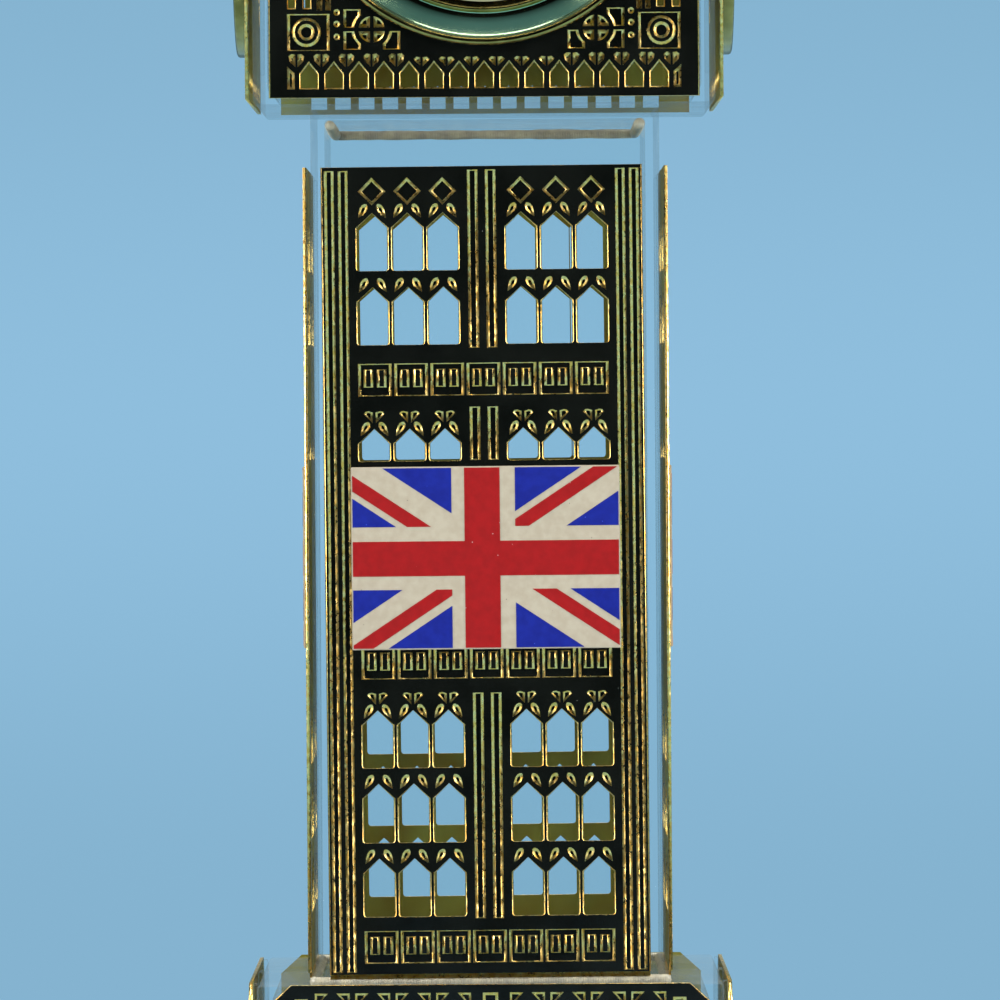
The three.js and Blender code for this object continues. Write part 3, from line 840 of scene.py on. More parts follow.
hang_plates(
    "shaft_plate",
    shaft_plate("shaft_plate"),
    SHAFT_STRIPS,
    tilts=(ASKEW, 0, ASKEW_BACK, 0),
    back_mesh=shaft_plate("shaft_plate_back", wider=0.15, taller=0.4, leaning=0.05),
)

# --- Base plates -------------------------------------------------------------------------------------------
# Squatter plates with clipped top corners: a row of arched bays with pierced lancets under their
# spandrels, a string course, and blind panels below.

BASE_WIDE, BASE_TALL, BASE_CLIP = 31.8, 22.1, 1.5
BAY_TOP = 21.42
ARCH_BAYS = (2.65, 5.55, 8.45, 11.35)
BAY_HALF = 1.25
LANCET_WIDE, LANCET_SILL, LANCET_TALL, LANCET_SHOULDER = 1.8, 12.4, 7.6, 1.0
STRING_COURSE = (11.2, 0.55)
PANEL_BOTTOM, PANEL_TALL = 3.9, 6.6
BASE_STRIPS = (
    (-15.5, 0.1, 31.0, 11.8),
    (-14.2, 12.0, 1.8, 9.9),
    (-1.5, 12.0, 3.0, 9.9),
    (12.4, 12.0, 1.8, 9.9),
)

half = BASE_WIDE / 2 - 0.1
clip = BASE_CLIP
base_relief = [
    plate_edge(
        [
            (-half, 0.1),
            (half, 0.1),
            (half, BASE_TALL - clip),
            (half - clip, BASE_TALL - 0.1),
            (clip - half, BASE_TALL - 0.1),
            (-half, BASE_TALL - clip),
        ]
    )
]
for bay_x in ARCH_BAYS:
    for x in (bay_x, -bay_x):
        base_relief.append(opening(window(x, LANCET_SILL, LANCET_WIDE, LANCET_TALL, LANCET_SHOULDER)))
        base_relief.append(recess(window(x, PANEL_BOTTOM, 1.9, PANEL_TALL, 0.95)))
        base_relief.append(island(ring(x, PANEL_BOTTOM + PANEL_TALL * 0.5, 0.3, 12)))
        for side in (-1, 1):
            spandrel = [
                (x + side * BAY_HALF, BAY_TOP),
                (x + side * 0.3, BAY_TOP),
                (x + side * BAY_HALF, BAY_TOP - 1.05),
            ]
            base_relief.append(dimple(spandrel, 0.45))
base_relief.append(recess(bar(-0.55, LANCET_SILL, 1.1, BAY_TOP - LANCET_SILL)))
base_relief.append(recess(window(0, PANEL_BOTTOM, 1.3, PANEL_TALL, 0.65)))
base_relief += both_sides(recess, bar(13.1, 12.4, 0.95, BAY_TOP - 12.8))
base_relief += both_sides(recess, window(13.75, PANEL_BOTTOM, 1.5, PANEL_TALL, 0.75))
base_relief.append(recess(bar(-14.6, STRING_COURSE[0], 29.2, STRING_COURSE[1])))
base_relief += frieze(0.7, FRIEZE_TALL, 11, FRIEZE_PITCH, FRIEZE_UNIT)
hang_plates("base_plate", engrave("base_plate", base_relief), BASE_STRIPS)

# --- Clock plates ------------------------------------------------------------------------------------------
# Square plates with an arcade along the bottom, wheels and discs in the corners and slots up the sides,
# repeated upside down at the top. The front plate is bored for the clock; the others carry dummy dials.

CLOCK_WIDE, CLOCK_TALL = 30.9, 34.6
ARCADE_COUNT, ARCADE_PITCH = 15, 1.793
ARCH_WIDE, ARCH_SILL, ARCH_TALL, ARCH_SHOULDER = 1.38, 0.71, 2.0, 0.88
SLOT_CENTRES, SLOT_WIDE, SLOT_FROM = (12.67, 13.78), 0.62, 6.45
SIDE_REEDS, SIDE_REED_WIDE = (11.77, 11.15), 0.4
CORNER_PIT = (11.05, 14.1, 3.46, 6.1)
DISC, DISC_WIDE, DISC_PIT = (12.72, 4.8), 0.85, 0.6
DOTS = (10.55, (4.45, 5.37, 6.2), 0.24)
WHEEL = (8.03, 4.97, 2.04, 1.45)  # middle, half width and half height of a wheel's panel
HUB, FELLOE, SPOKE = 0.95, 1.28, 0.13
CLOCK_STRIPS = ((-15.3, 3.0, 1.1, 28.6), (14.2, 3.0, 1.1, 28.6))
BACK_ARCH_DROP = 0.35
BORE = 11.9
OPEN_ABOVE = 12.6  # relief nearer the dial's middle than this is left out of the front plate


def wheel_panel(x, y, half_wide, half_tall):
    """A wheel with four sunk quarters between its spokes, and sunk corners outside it."""
    turn = math.degrees(math.asin(SPOKE / HUB))
    lower = math.degrees(math.asin(SPOKE / FELLOE))
    quarters = []
    for flip_x in (-1, 1):
        for flip_y in (-1, 1):
            sector = [(SPOKE, SPOKE)] + arc(0, 0, HUB, turn, 90 - turn, 5)
            corner = arc(0, 0, FELLOE, lower, 52, 4)
            corner += [(corner[-1][0], half_tall), (half_wide, half_tall), (half_wide, SPOKE)]
            for shape, sink in ((sector, dimple), (corner, upright)):
                quarters.append(sink([(x + flip_x * u, y + flip_y * v) for u, v in shape]))
    return quarters


def clock_corner():
    """The relief of the bottom right corner, as draw calls and outlines."""
    x0, x1, y0, y1 = CORNER_PIT
    made = [upright(bar(x0, y0, x1 - x0, y1 - y0)), island(ring(*DISC, DISC_WIDE))]
    made.append(dimple(ring(*DISC, DISC_PIT, 16), 0.35))
    made += [dimple(ring(DOTS[0], y, DOTS[2], 10), 0.7) for y in DOTS[1]]
    made += wheel_panel(*WHEEL)
    return made


def flipped(part, across, upwards):
    """A relief loop mirrored left to right, top to bottom, or both."""
    points, ways, cuts = part
    sx, sy = (-1 if across else 1), (-1 if upwards else 1)
    middle = CLOCK_TALL / 2
    moved = [(sx * x, middle + sy * (y - middle)) for x, y in points]
    return moved, [Vector((sx * w.x, sy * w.y)) for w in ways], cuts


def arcade(sill, foot_drop=0.0):
    """The row of pointed openings at the foot of a clock plate and the one at its head, upside down."""
    arches = []
    for i in range(ARCADE_COUNT):
        x = (i - (ARCADE_COUNT - 1) / 2) * ARCADE_PITCH
        arches.append(opening(window(x, sill - foot_drop, ARCH_WIDE, ARCH_TALL, ARCH_SHOULDER)))
        arches.append(flipped(opening(window(x, sill, ARCH_WIDE, ARCH_TALL, ARCH_SHOULDER)), False, True))
    return arches


lower_half = clock_corner()
lower_half = lower_half + [flipped(part, True, False) for part in lower_half]
half_arch = [(13.58, ARCH_SILL), (14.12, ARCH_SILL), (14.12, 2.35), (13.58, 1.85)]
lower_half += [recess(half_arch), recess(mirrored(half_arch))]
for i in range(ARCADE_COUNT + 1):
    pier = (i - ARCADE_COUNT / 2) * ARCADE_PITCH
    short = abs(pier) < 5.5
    top = 2.95 if short else 3.2
    for side in (-1, 1):
        shield = [(pier + side * 0.08, 2.3), (pier + side * 0.08, top), (pier + side * 0.36, top + 0.04)]
        shield += [(pier + side * 0.56, top - 0.12), (pier + side * 0.5, 2.72)]
        lower_half.append(dimple(shield, 0.85))
clock_relief = lower_half + [flipped(part, False, True) for part in lower_half]
slot_tall = CLOCK_TALL - 2 * SLOT_FROM
for x in SLOT_CENTRES:
    clock_relief += both_sides(opening, bar(x - SLOT_WIDE / 2, SLOT_FROM, SLOT_WIDE, slot_tall))
side_reeds = []
for x in SIDE_REEDS:
    side_reeds += both_sides(recess, bar(x - SIDE_REED_WIDE / 2, SLOT_FROM - 0.1, SIDE_REED_WIDE, slot_tall + 0.2))
clock_edge = plate_edge(bar(-CLOCK_WIDE / 2 + 0.1, 0.1, CLOCK_WIDE - 0.2, CLOCK_TALL - 0.2))


def clear_of_bore(part):
    return all(math.hypot(x, y - CLOCK_TALL / 2) > OPEN_ABOVE for x, y in part[0])


front_relief = arcade(ARCH_SILL) + [part for part in clock_relief if clear_of_bore(part)]
stub_tall = CLOCK_TALL / 2 - math.sqrt(OPEN_ABOVE**2 - SIDE_REEDS[1] ** 2) - SLOT_FROM - 0.4
for x in SIDE_REEDS:
    stub = bar(x - SIDE_REED_WIDE / 2, SLOT_FROM - 0.1, SIDE_REED_WIDE, stub_tall)
    for part in both_sides(recess, stub):
        front_relief += [part, flipped(part, False, True)]
bore = opening(ring(0, CLOCK_TALL / 2, BORE, 72))
hang_plates(
    "clock_plate",
    engrave("clock_plate", [clock_edge] + clock_relief + side_reeds + arcade(ARCH_SILL)),
    CLOCK_STRIPS,
    front_mesh=engrave("clock_plate_front", [clock_edge, bore] + front_relief),
    back_mesh=engrave(
        "clock_plate_back", [clock_edge] + clock_relief + side_reeds + arcade(ARCH_SILL, BACK_ARCH_DROP)
    ),
)

# --- Belfry plates -----------------------------------------------------------------------------------------
# A low open stage above the clock: seven pointed openings on each side, with leaves over the piers and
# a groove along the sill.

BELFRY_WIDE, BELFRY_TALL = 23.2, 8.2
BELL_ARCHES, BELL_PITCH, BELL_WIDE = 7, 3.1, 2.2
BELL_SILL, BELL_TALL, BELL_SHOULDER = 1.1, 5.6, 1.1
BELFRY_STRIPS = ((-11.4, 0.1, 22.8, 0.85), (-11.4, 7.15, 22.8, 0.95))

belfry_relief = [plate_edge(bar(-BELFRY_WIDE / 2 + 0.1, 0.1, BELFRY_WIDE - 0.2, BELFRY_TALL - 0.2))]
for i in range(BELL_ARCHES):
    x = (i - (BELL_ARCHES - 1) / 2) * BELL_PITCH
    belfry_relief.append(opening(window(x, BELL_SILL, BELL_WIDE, BELL_TALL, BELL_SHOULDER, 0.2)))
    apex = BELL_SILL + BELL_TALL
    for side in (-1, 1):
        belfry_relief.append(dimple(leaf((x + side * 1.15, apex - 0.5), (x + side * 0.4, apex + 0.6), 0.26)))
belfry_relief.append(recess(bar(-11.1, 0.4, 22.2, 0.4)))
belfry_relief.append(recess(bar(-11.1, 7.55, 22.2, 0.4)))
hang_plates("belfry_plate", engrave("belfry_plate", belfry_relief), BELFRY_STRIPS)

# --- Cement beads ------------------------------------------------------------------------------------------
# Solvent cement was run along the inside corners under the shaft box's lid and the belfry's. It set as an
# uneven grey bead that shows through the clear walls.

BEAD_RADIUS, BEAD_UNEVEN, BEAD_STEP = 0.46, 0.3, 0.18

# Cured cement: grey-beige, cloudy and slightly glossy, full of fine bubbles.
cured_cement = finished("solvent_cement_cured", "#8f8a7a", "#b0a78c", 0.8, (0.25, 0.45, 1), (0.4, 0.03))

BEAD_INPUTS = {
    "Bead radius": ("NodeSocketFloat", BEAD_RADIUS * MM),
    "Unevenness": ("NodeSocketFloat", BEAD_UNEVEN * MM),
    "Step": ("NodeSocketFloat", BEAD_STEP * MM),
    "Cement": ("NodeSocketMaterial", cured_cement),
}
beading, given, bead_sockets = start_tree("cement_bead", BEAD_INPUTS)
run = add_node(beading, "GeometryNodeMeshToCurve", {0: given.outputs[0]}).outputs[0]
run = add_node(
    beading, "GeometryNodeResampleCurve", {"Curve": run, "Length": given.outputs["Step"]}, mode="LENGTH"
).outputs[0]
lumps = add_node(beading, "ShaderNodeTexNoise", {"Scale": per_metre(3.0), "Detail": 2.0}).outputs[0]
swelling = add_node(
    beading,
    "ShaderNodeMapRange",
    {
        "Value": lumps,
        "From Min": 0.25,
        "From Max": 0.75,
        "To Min": given.outputs["Unevenness"],
        "To Max": given.outputs["Bead radius"],
    },
).outputs[0]
beads = add_node(
    beading,
    "GeometryNodeInstanceOnPoints",
    {
        "Points": run,
        "Instance": add_node(
            beading, "GeometryNodeMeshUVSphere", {"Segments": 8, "Rings": 6, "Radius": 1.0}
        ).outputs[0],
        "Scale": swelling,
    },
).outputs[0]
dressed(beading, marked(beading, beads, 0), [given.outputs["Cement"]])


def line_of(name, points, closed=True):
    """A mesh of edges only, through points given in millimetres."""
    mesh = bpy.data.meshes.new(name)
    count = len(points)
    edges = [(i, (i + 1) % count) for i in range(count if closed else count - 1)]
    mesh.from_pydata([tuple(v * MM for v in p) for p in points], edges, [])
    return mesh


def smooth(obj, angle=math.radians(40)):
    """Shades a piece smoothly, except across edges sharper than the angle."""
    obj.data.shade_smooth()
    obj.data.set_sharp_from_angle(angle=angle)


def square(half, z):
    return [(-half, -half, z), (half, -half, z), (half, half, z), (-half, half, z)]


for place, half, z in (("shaft", 11.2, 86.4), ("belfry", 11.2, 130.6), ("shaft_foot", 12.7, 24.5)):
    corners = square(half, z)
    at_foot = place == "shaft_foot"
    open_run = line_of("bead_line", [*corners[1:], corners[0]], closed=at_foot)
    bead = as_piece(f"cement_bead_{place}", run_tree("bead", open_run, beading, bead_sockets, BEAD_INPUTS))
    smooth(bead)
    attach(bead, "tower")

# --- Flag panels -------------------------------------------------------------------------------------------
# Thin metal panels stuck over the middle of each shaft plate, coated cream and screen-printed in red and
# blue. The inks lie a few hundredths proud and are a little out of register.

PANEL_WIDE, PANEL_HIGH, PANEL_THICK = 19.4, 13.2, 0.17
MARGIN = 0.1
PRINT_ASKEW = 0.003
PANEL_ASIDE = -0.12  # how far left of the middle a panel was stuck
INK_THICK = 0.02
PANEL_OFF = 13.22  # back of a panel, from the tower's axis
PANEL_MIDDLE = 55.1
CROSS_RED = (-1.52, 1.04, -1.30, 1.21)  # left, right, bottom, top
CROSS_WHITE = (-2.45, 2.14, -2.28, 2.26)
ARM_SLOPE = 0.66
# for each quarter: the sides it lies on, then where its white and red diagonal bands cut the y axis
ARMS = (
    (-1, 1, (-2.0, 1.6), (-1.48, -0.34)),
    (1, 1, (-1.6, 1.92), (0.2, 1.35)),
    (1, -1, (-1.84, 1.73), (-0.08, 1.08)),
    (-1, -1, (-1.83, 1.7), (-1.1, 0.08)),
)

# Screen-printed enamel inks, baked on: an even coat with a faint orange peel and pin-head specks, semi-gloss.
INKS = {
    "cream": ("#a1947f", "#a99d88", "#7f7668"),
    "red": ("#840708", "#8f090b", "#a98f88"),
    "blue": ("#08156f", "#0c1c7b", "#2f44a8"),
}
inks = {}
for colour, (low, high, speck) in INKS.items():
    inks[colour], tree, shader = new_material(f"enamel_ink_{colour}")
    place = place_in(tree)
    pits = add_node(tree, "ShaderNodeTexVoronoi", {"Vector": place, "Scale": per_metre(0.9)}).outputs["Distance"]
    pin = add_node(tree, "ShaderNodeMath", {0: pits, 1: 0.05}, operation="LESS_THAN").outputs[0]
    coat = speckled(tree, low, high, 0.6, 5.0)
    mixed = add_node(tree, "ShaderNodeMix", {0: pin, 6: coat, 7: linear(speck)}, data_type="RGBA").outputs[2]
    tree.links.new(mixed, shader.inputs["Base Color"])
    tree.links.new(varied(tree, 0.3, 0.45, 1.5), shader.inputs["Roughness"])
    tree.links.new(bumped(tree, 0.25, 0.006), shader.inputs["Normal"])
    shader.inputs["Specular IOR Level"].default_value = 0.3


def cut_by(points, a, b, c):
    """The part of a polygon where a*x + b*y is at most c."""
    kept = []
    for here, after in zip(points, points[1:] + points[:1]):
        d0, d1 = a * here[0] + b * here[1] - c, a * after[0] + b * after[1] - c
        if d0 <= 0:
            kept.append(here)
        if (d0 < 0 < d1) or (d1 < 0 < d0):
            t = d0 / (d0 - d1)
            kept.append((here[0] + (after[0] - here[0]) * t, here[1] + (after[1] - here[1]) * t))
    return kept


def printed_fields():
    """The red and blue fields of the flag, as polygons about the panel's middle."""
    wide, high = PANEL_WIDE / 2 - MARGIN, PANEL_HIGH / 2 - MARGIN
    left, right, bottom, top = CROSS_RED
    fields = [
        ("red", bar(left, -high, right - left, 2 * high)),
        ("red", bar(-wide, bottom, left + wide, top - bottom)),
        ("red", bar(right, bottom, wide - right, top - bottom)),
    ]
    white_left, white_right, white_bottom, white_top = CROSS_WHITE
    for sx, sy, white, red in ARMS:
        x0, x1 = (white_right, wide) if sx > 0 else (-wide, white_left)
        y0, y1 = (white_top, high) if sy > 0 else (-high, white_bottom)
        quarter = bar(x0, y0, x1 - x0, y1 - y0)
        rise = -ARM_SLOPE * sx * sy  # the band is where y + rise * x is between the two limits
        fields.append(("red", cut_by(cut_by(quarter, rise, 1, red[1]), -rise, -1, -red[0])))
        fields.append(("blue", cut_by(quarter, -rise, -1, -white[1])))
        fields.append(("blue", cut_by(quarter, rise, 1, white[0])))
    return [(colour, points) for colour, points in fields if len(points) > 2]


form = bmesh.new()
slab(form, bar(-PANEL_WIDE / 2, -PANEL_HIGH / 2, PANEL_WIDE, PANEL_HIGH), 0, PANEL_THICK)
bmesh.ops.bevel(form, geom=form.edges[:], offset=0.05, segments=2, affect="EDGES")
for colour, points in printed_fields():
    slab(form, points, PANEL_THICK - 0.01, PANEL_THICK + INK_THICK, list(INKS).index(colour))
printed_panel = mesh_of("flag", form)
printed_panel.transform(Matrix.Translation((PANEL_ASIDE, 0, 0)))
for ink in inks.values():
    printed_panel.materials.append(ink)
for face in FACES:
    hung = stand(printed_panel, face, PANEL_OFF * MM, PANEL_MIDDLE * MM, PRINT_ASKEW)
    flag = as_piece(f"flag_panel_{face}_printed", hung)
    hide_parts(f"flag_panel_{face}")
    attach(flag, "tower")

# --- Roof --------------------------------------------------------------------------------------------------
# A steep four-sided roof of struck sheet, folded round a core: rows of scallops, three gilt dormers a side
# and cast gilt crockets up the hips.

ROOF_LOW, ROOF_HIGH, ROOF_WIDE, ROOF_NARROW = 132.0, 145.0, 25.2, 10.2
ROOF_MITRE = 2.0  # of WALL_RUN, so that the folded faces meet at the hips
SCALE_PITCH, SCALE_ROW = 1.9, 1.75


def folded_face(wide, narrow, low, high, mitre):
    """A leaning face's outline, its slant height and its lean."""
    lean_back = math.atan((wide - narrow) / 2 / (high - low))
    slant = math.hypot((wide - narrow) / 2, high - low)
    outline = [(-wide / 2, 0), (wide / 2, 0), (narrow / 2, slant), (-narrow / 2, slant)]
    return plate_edge(outline, mitre), slant, lean_back


def half_width_at(y, wide, narrow, slant):
    return (wide + (narrow - wide) * y / slant) / 2


roof_edge, roof_slant, roof_lean = folded_face(ROOF_WIDE, ROOF_NARROW, ROOF_LOW, ROOF_HIGH, ROOF_MITRE)
roof_relief = [roof_edge, recess(bar(-11.6, 0.35, 23.2, 0.5))]
DORMERS = (-5.6, 0.0, 5.6)
for x in DORMERS:
    roof_relief.append(recess(window(x, 1.5, 2.6, 4.6, 1.8)))
    roof_relief.append(island(window(x, 2.2, 1.1, 2.3, 0.8)))
SCALE = ((-0.7, 1.2), (-0.55, 0.4), (0, 0), (0.55, 0.4), (0.7, 1.2))
for row in range(int((roof_slant - 3.2) / SCALE_ROW) + 1):
    y = 1.6 + row * SCALE_ROW
    half_row = half_width_at(y + 1.3, ROOF_WIDE, ROOF_NARROW, roof_slant) - 1.3
    for i in range(-8, 9):
        x = (i + (row % 2) / 2) * SCALE_PITCH
        clear = y > 6.4 or all(abs(x - middle) > 2.2 for middle in DORMERS)
        if abs(x) < half_row and clear:
            roof_relief.append(dimple([(x + u, y + v) for u, v in SCALE], 0.5))
roof_face = engrave("roof_face", roof_relief)


def frustum(name, wide, narrow, low, high):
    """A square frustum in metres, from widths and heights in millimetres."""
    form = bmesh.new()
    rings = []
    for half, z in ((wide / 2, low), (narrow / 2, high)):
        rings.append([form.verts.new((x * MM, y * MM, z * MM)) for x, y, z in square(half, z)])
    form.faces.new(rings[0][::-1])
    form.faces.new(rings[1])
    for i in range(4):
        j = (i + 1) % 4
        form.faces.new((rings[0][i], rings[0][j], rings[1][j], rings[1][i]))
    return mesh_of(name, form)


CORE_INSET = 1.25
roof_core = as_piece(
    "roof_core", frustum("roof_core", ROOF_WIDE - CORE_INSET, ROOF_NARROW - CORE_INSET, ROOF_LOW, ROOF_HIGH)
)
wear(roof_core, black_lacquer_and_painted_reflection)
round_edges(roof_core, 0.08)
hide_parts("roof")
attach(roof_core, "tower")
for face in FACES:
    side = as_piece(
        f"roof_{face}_struck",
        stand(roof_face, face, ROOF_WIDE / 2 * MM, ROOF_LOW * MM, backwards=roof_lean),
    )
    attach(side, "tower")

# Cast and gilt zinc: smooth, bright yellow, with soft tool marks and darker patches here and there.
cast_gilt = finished("cast_gilt_bright", "#c79c48", "#ecc878", 1.2, (0.18, 0.32, 0.8), (0.5, 0.02), 1.0)

CROCKET_INPUTS = {
    "Spacing": ("NodeSocketFloat", 1.75 * MM),
    "Crocket size": ("NodeSocketFloat", 0.36 * MM),
    "Unevenness": ("NodeSocketFloat", 0.12),
    "Casting": ("NodeSocketInt", 7),
    "Gilt": ("NodeSocketMaterial", cast_gilt),
}
crocketing, given, crocket_sockets = start_tree("hip_crockets", CROCKET_INPUTS)
hips = add_node(crocketing, "GeometryNodeMeshToCurve", {0: given.outputs[0]}).outputs[0]
stations = add_node(
    crocketing, "GeometryNodeResampleCurve", {"Curve": hips, "Length": given.outputs["Spacing"]}, mode="LENGTH"
).outputs[0]
knob = add_node(
    crocketing,
    "GeometryNodeMeshUVSphere",
    {"Segments": 8, "Rings": 6, "Radius": given.outputs["Crocket size"]},
).outputs[0]
least = add_node(crocketing, "ShaderNodeMath", {0: 1.0, 1: given.outputs["Unevenness"]}, operation="SUBTRACT")
most = add_node(crocketing, "ShaderNodeMath", {0: 1.0, 1: given.outputs["Unevenness"]}, operation="ADD")
uneven = add_node(
    crocketing,
    "FunctionNodeRandomValue",
    {2: least.outputs[0], 3: most.outputs[0], "Seed": given.outputs["Casting"]},
    data_type="FLOAT",
).outputs[1]
knobs = add_node(
    crocketing, "GeometryNodeInstanceOnPoints", {"Points": stations, "Instance": knob, "Scale": uneven}
).outputs[0]
ridge_round = add_node(
    crocketing, "GeometryNodeCurvePrimitiveCircle", {"Resolution": 8, "Radius": 0.16 * MM}
).outputs[0]
ridge = add_node(
    crocketing, "GeometryNodeCurveToMesh", {"Curve": hips, "Profile Curve": ridge_round, "Fill Caps": True}
).outputs[0]
dressed_hips = add_node(crocketing, "GeometryNodeJoinGeometry")
crocketing.links.new(marked(crocketing, knobs, 0), dressed_hips.inputs[0])
crocketing.links.new(marked(crocketing, ridge, 0), dressed_hips.inputs[0])
dressed(crocketing, dressed_hips.outputs[0], [given.outputs["Gilt"]])


def crockets_like(spacing, radius):
    """The crocket inputs with another spacing and size, in millimetres."""
    changed = {"Spacing": ("NodeSocketFloat", spacing * MM), "Crocket size": ("NodeSocketFloat", radius * MM)}
    return {**CROCKET_INPUTS, **changed}


def hip_lines(name, wide, narrow, low, high):
    """The four sloping edges of a frustum, drawn slightly inside it."""
    mesh = bpy.data.meshes.new(name)
    feet, tops = square(wide / 2 - 0.15, low + 0.5), square(narrow / 2 - 0.15, high - 0.4)
    points = [tuple(v * MM for v in p) for pair in zip(feet, tops) for p in pair]
    mesh.from_pydata(points, [(0, 1), (2, 3), (4, 5), (6, 7)], [])
    return mesh


roof_hips = hip_lines("roof_hips", ROOF_WIDE - 0.3, ROOF_NARROW, ROOF_LOW, ROOF_HIGH)
roof_crockets = as_piece(
    "roof_crockets", run_tree("crockets", roof_hips, crocketing, crocket_sockets, CROCKET_INPUTS)
)
smooth(roof_crockets)
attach(roof_crockets, "tower")

# --- Lantern -----------------------------------------------------------------------------------------------
# The small open stage between roof and spire, cast in one with a pointed arch on each side, gilt all over,
# with a moulded sill and cornice.

LANTERN_LOW, LANTERN_HIGH, LANTERN_HALF = 145.0, 151.5, 4.7
CORNICE_SPACING, CORNICE_RADIUS = 0.94, 0.28

lantern = as_piece("lantern_cast", copy_of("lantern"))
wear(lantern, cast_gilt)
round_edges(lantern, 0.12, sharper_than=math.radians(25))
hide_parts("lantern")
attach(lantern, "tower")
cornice_inputs = crockets_like(CORNICE_SPACING, CORNICE_RADIUS)
for level, z in (("sill", LANTERN_LOW + 0.45), ("cornice", LANTERN_HIGH - 0.45)):
    line = line_of(level, square(LANTERN_HALF, z))
    string = as_piece(
        f"lantern_{level}", run_tree(level, line, crocketing, crocket_sockets, cornice_inputs)
    )
    smooth(string)
    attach(string, "tower")

# --- Spire -------------------------------------------------------------------------------------------------
# A tall narrow pyramid of the same struck sheet, with tapering panels one above another and finer crockets
# on its edges.

SPIRE_LOW, SPIRE_HIGH, SPIRE_WIDE, SPIRE_NARROW = 151.5, 167.0, 10.6, 0.9
SPIRE_SHEET = 0.3
SPIRE_MITRE = 1.4
SPIRE_KNOB_SPACING, SPIRE_KNOB_RADIUS = 1.3, 0.27
SPIRE_PANELS = ((0.8, 3.2), (4.4, 2.7), (7.5, 2.3), (10.2, 1.9))  # bottom and height of each panel

spire_edge, spire_slant, spire_lean = folded_face(SPIRE_WIDE, SPIRE_NARROW, SPIRE_LOW, SPIRE_HIGH, SPIRE_MITRE)
spire_relief = [spire_edge]
for bottom, tall in SPIRE_PANELS:
    low_half = half_width_at(bottom, SPIRE_WIDE, SPIRE_NARROW, spire_slant) - 0.75
    high_half = half_width_at(bottom + tall, SPIRE_WIDE, SPIRE_NARROW, spire_slant) - 0.75
    spire_relief.append(
        recess([(-low_half, bottom), (low_half, bottom), (high_half, bottom + tall), (-high_half, bottom + tall)])
    )
    if low_half > 1.4:
        spire_relief.append(island(window(0, bottom + 0.6, 1.0, tall - 1.2, 0.5)))
spire_inputs = dict(INPUT_KINDS, **{"Plate thickness": ("NodeSocketFloat", SPIRE_SHEET)})
spire_face = engrave("spire_face", spire_relief, spire_inputs)
spire_core = as_piece(
    "spire_core", frustum("spire_core", SPIRE_WIDE - 0.7, 0.35, SPIRE_LOW, SPIRE_HIGH - 0.3)
)
wear(spire_core, black_lacquer_and_painted_reflection)
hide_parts("spire")
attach(spire_core, "tower")
for face in FACES:
    side = as_piece(
        f"spire_{face}_struck",
        stand(spire_face, face, SPIRE_WIDE / 2 * MM, SPIRE_LOW * MM, backwards=spire_lean),
    )
    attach(side, "tower")
spire_knobs = crockets_like(SPIRE_KNOB_SPACING, SPIRE_KNOB_RADIUS)
spire_hips = hip_lines("spire_hips", SPIRE_WIDE, SPIRE_NARROW, SPIRE_LOW, SPIRE_HIGH)
spire_crockets = as_piece(
    "spire_crockets", run_tree("crockets", spire_hips, crocketing, crocket_sockets, spire_knobs)
)
smooth(spire_crockets)
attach(spire_crockets, "tower")

# --- Finial ------------------------------------------------------------------------------------------------
# A turned brass finial, gilt: a collar, a ball with a bead round its waist, and a tapering point. It is
# soldered to the cut top of the spire.

# radius and height above the spire, in millimetres
FINIAL_PROFILE = [
    (0, 0), (0.62, 0), (0.66, 0.12), (0.6, 0.28), (0.36, 0.4), (0.3, 0.75), (0.34, 1.25), (0.5, 1.42), (0.7, 1.62),
    (0.84, 1.9), (0.9, 2.22), (0.94, 2.3), (0.95, 2.4), (0.94, 2.5), (0.9, 2.58), (0.84, 2.9), (0.7, 3.18),
    (0.5, 3.38), (0.32, 3.55), (0.3, 3.8), (0.4, 3.92), (0.4, 4.06), (0.28, 4.2), (0.2, 4.8), (0.1, 5.6), (0, 6.0),
]


def turned(name, profile, steps=64, closed=False):
    """A turned form: radius and height pairs in millimetres, turned about z. A closed profile makes a ring."""
    form = bmesh.new()
    circles = []
    for r, z in profile:
        if r == 0:
            circles.append([form.verts.new((0, 0, z))])
        else:
            circles.append([form.verts.new((x, y, z)) for x, y in ring(0, 0, r, steps)])
    pairs = list(zip(circles, circles[1:] + circles[:1]))
    for one, two in pairs if closed else pairs[:-1]:
        for i in range(steps):
            j = (i + 1) % steps
            corners = [one[i % len(one)], one[j % len(one)], two[j % len(two)], two[i % len(two)]]
            kept = [v for k, v in enumerate(corners) if v not in corners[:k]]
            form.faces.new(kept)
    bmesh.ops.recalc_face_normals(form, faces=form.faces)
    return mesh_of(name, form)


finial_mesh = turned("finial", FINIAL_PROFILE, 48)
finial_mesh.transform(Matrix.Translation((0, 0, SPIRE_HIGH * MM)) @ Matrix.Scale(MM, 4))
finial = as_piece("finial_turned", finial_mesh)
wear(finial, cast_gilt)
smooth(finial, math.radians(60))
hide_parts("finial")
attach(finial, "tower")

# --- Clock insert: bezel, gasket and lens ---------------------------------------------------------------------
# The quartz clock is pushed into a bore in the front. Its bezel is spun and polished: a thin rim, a deep
# dish and a bead round the glass. A foam ring under it grips the plate.

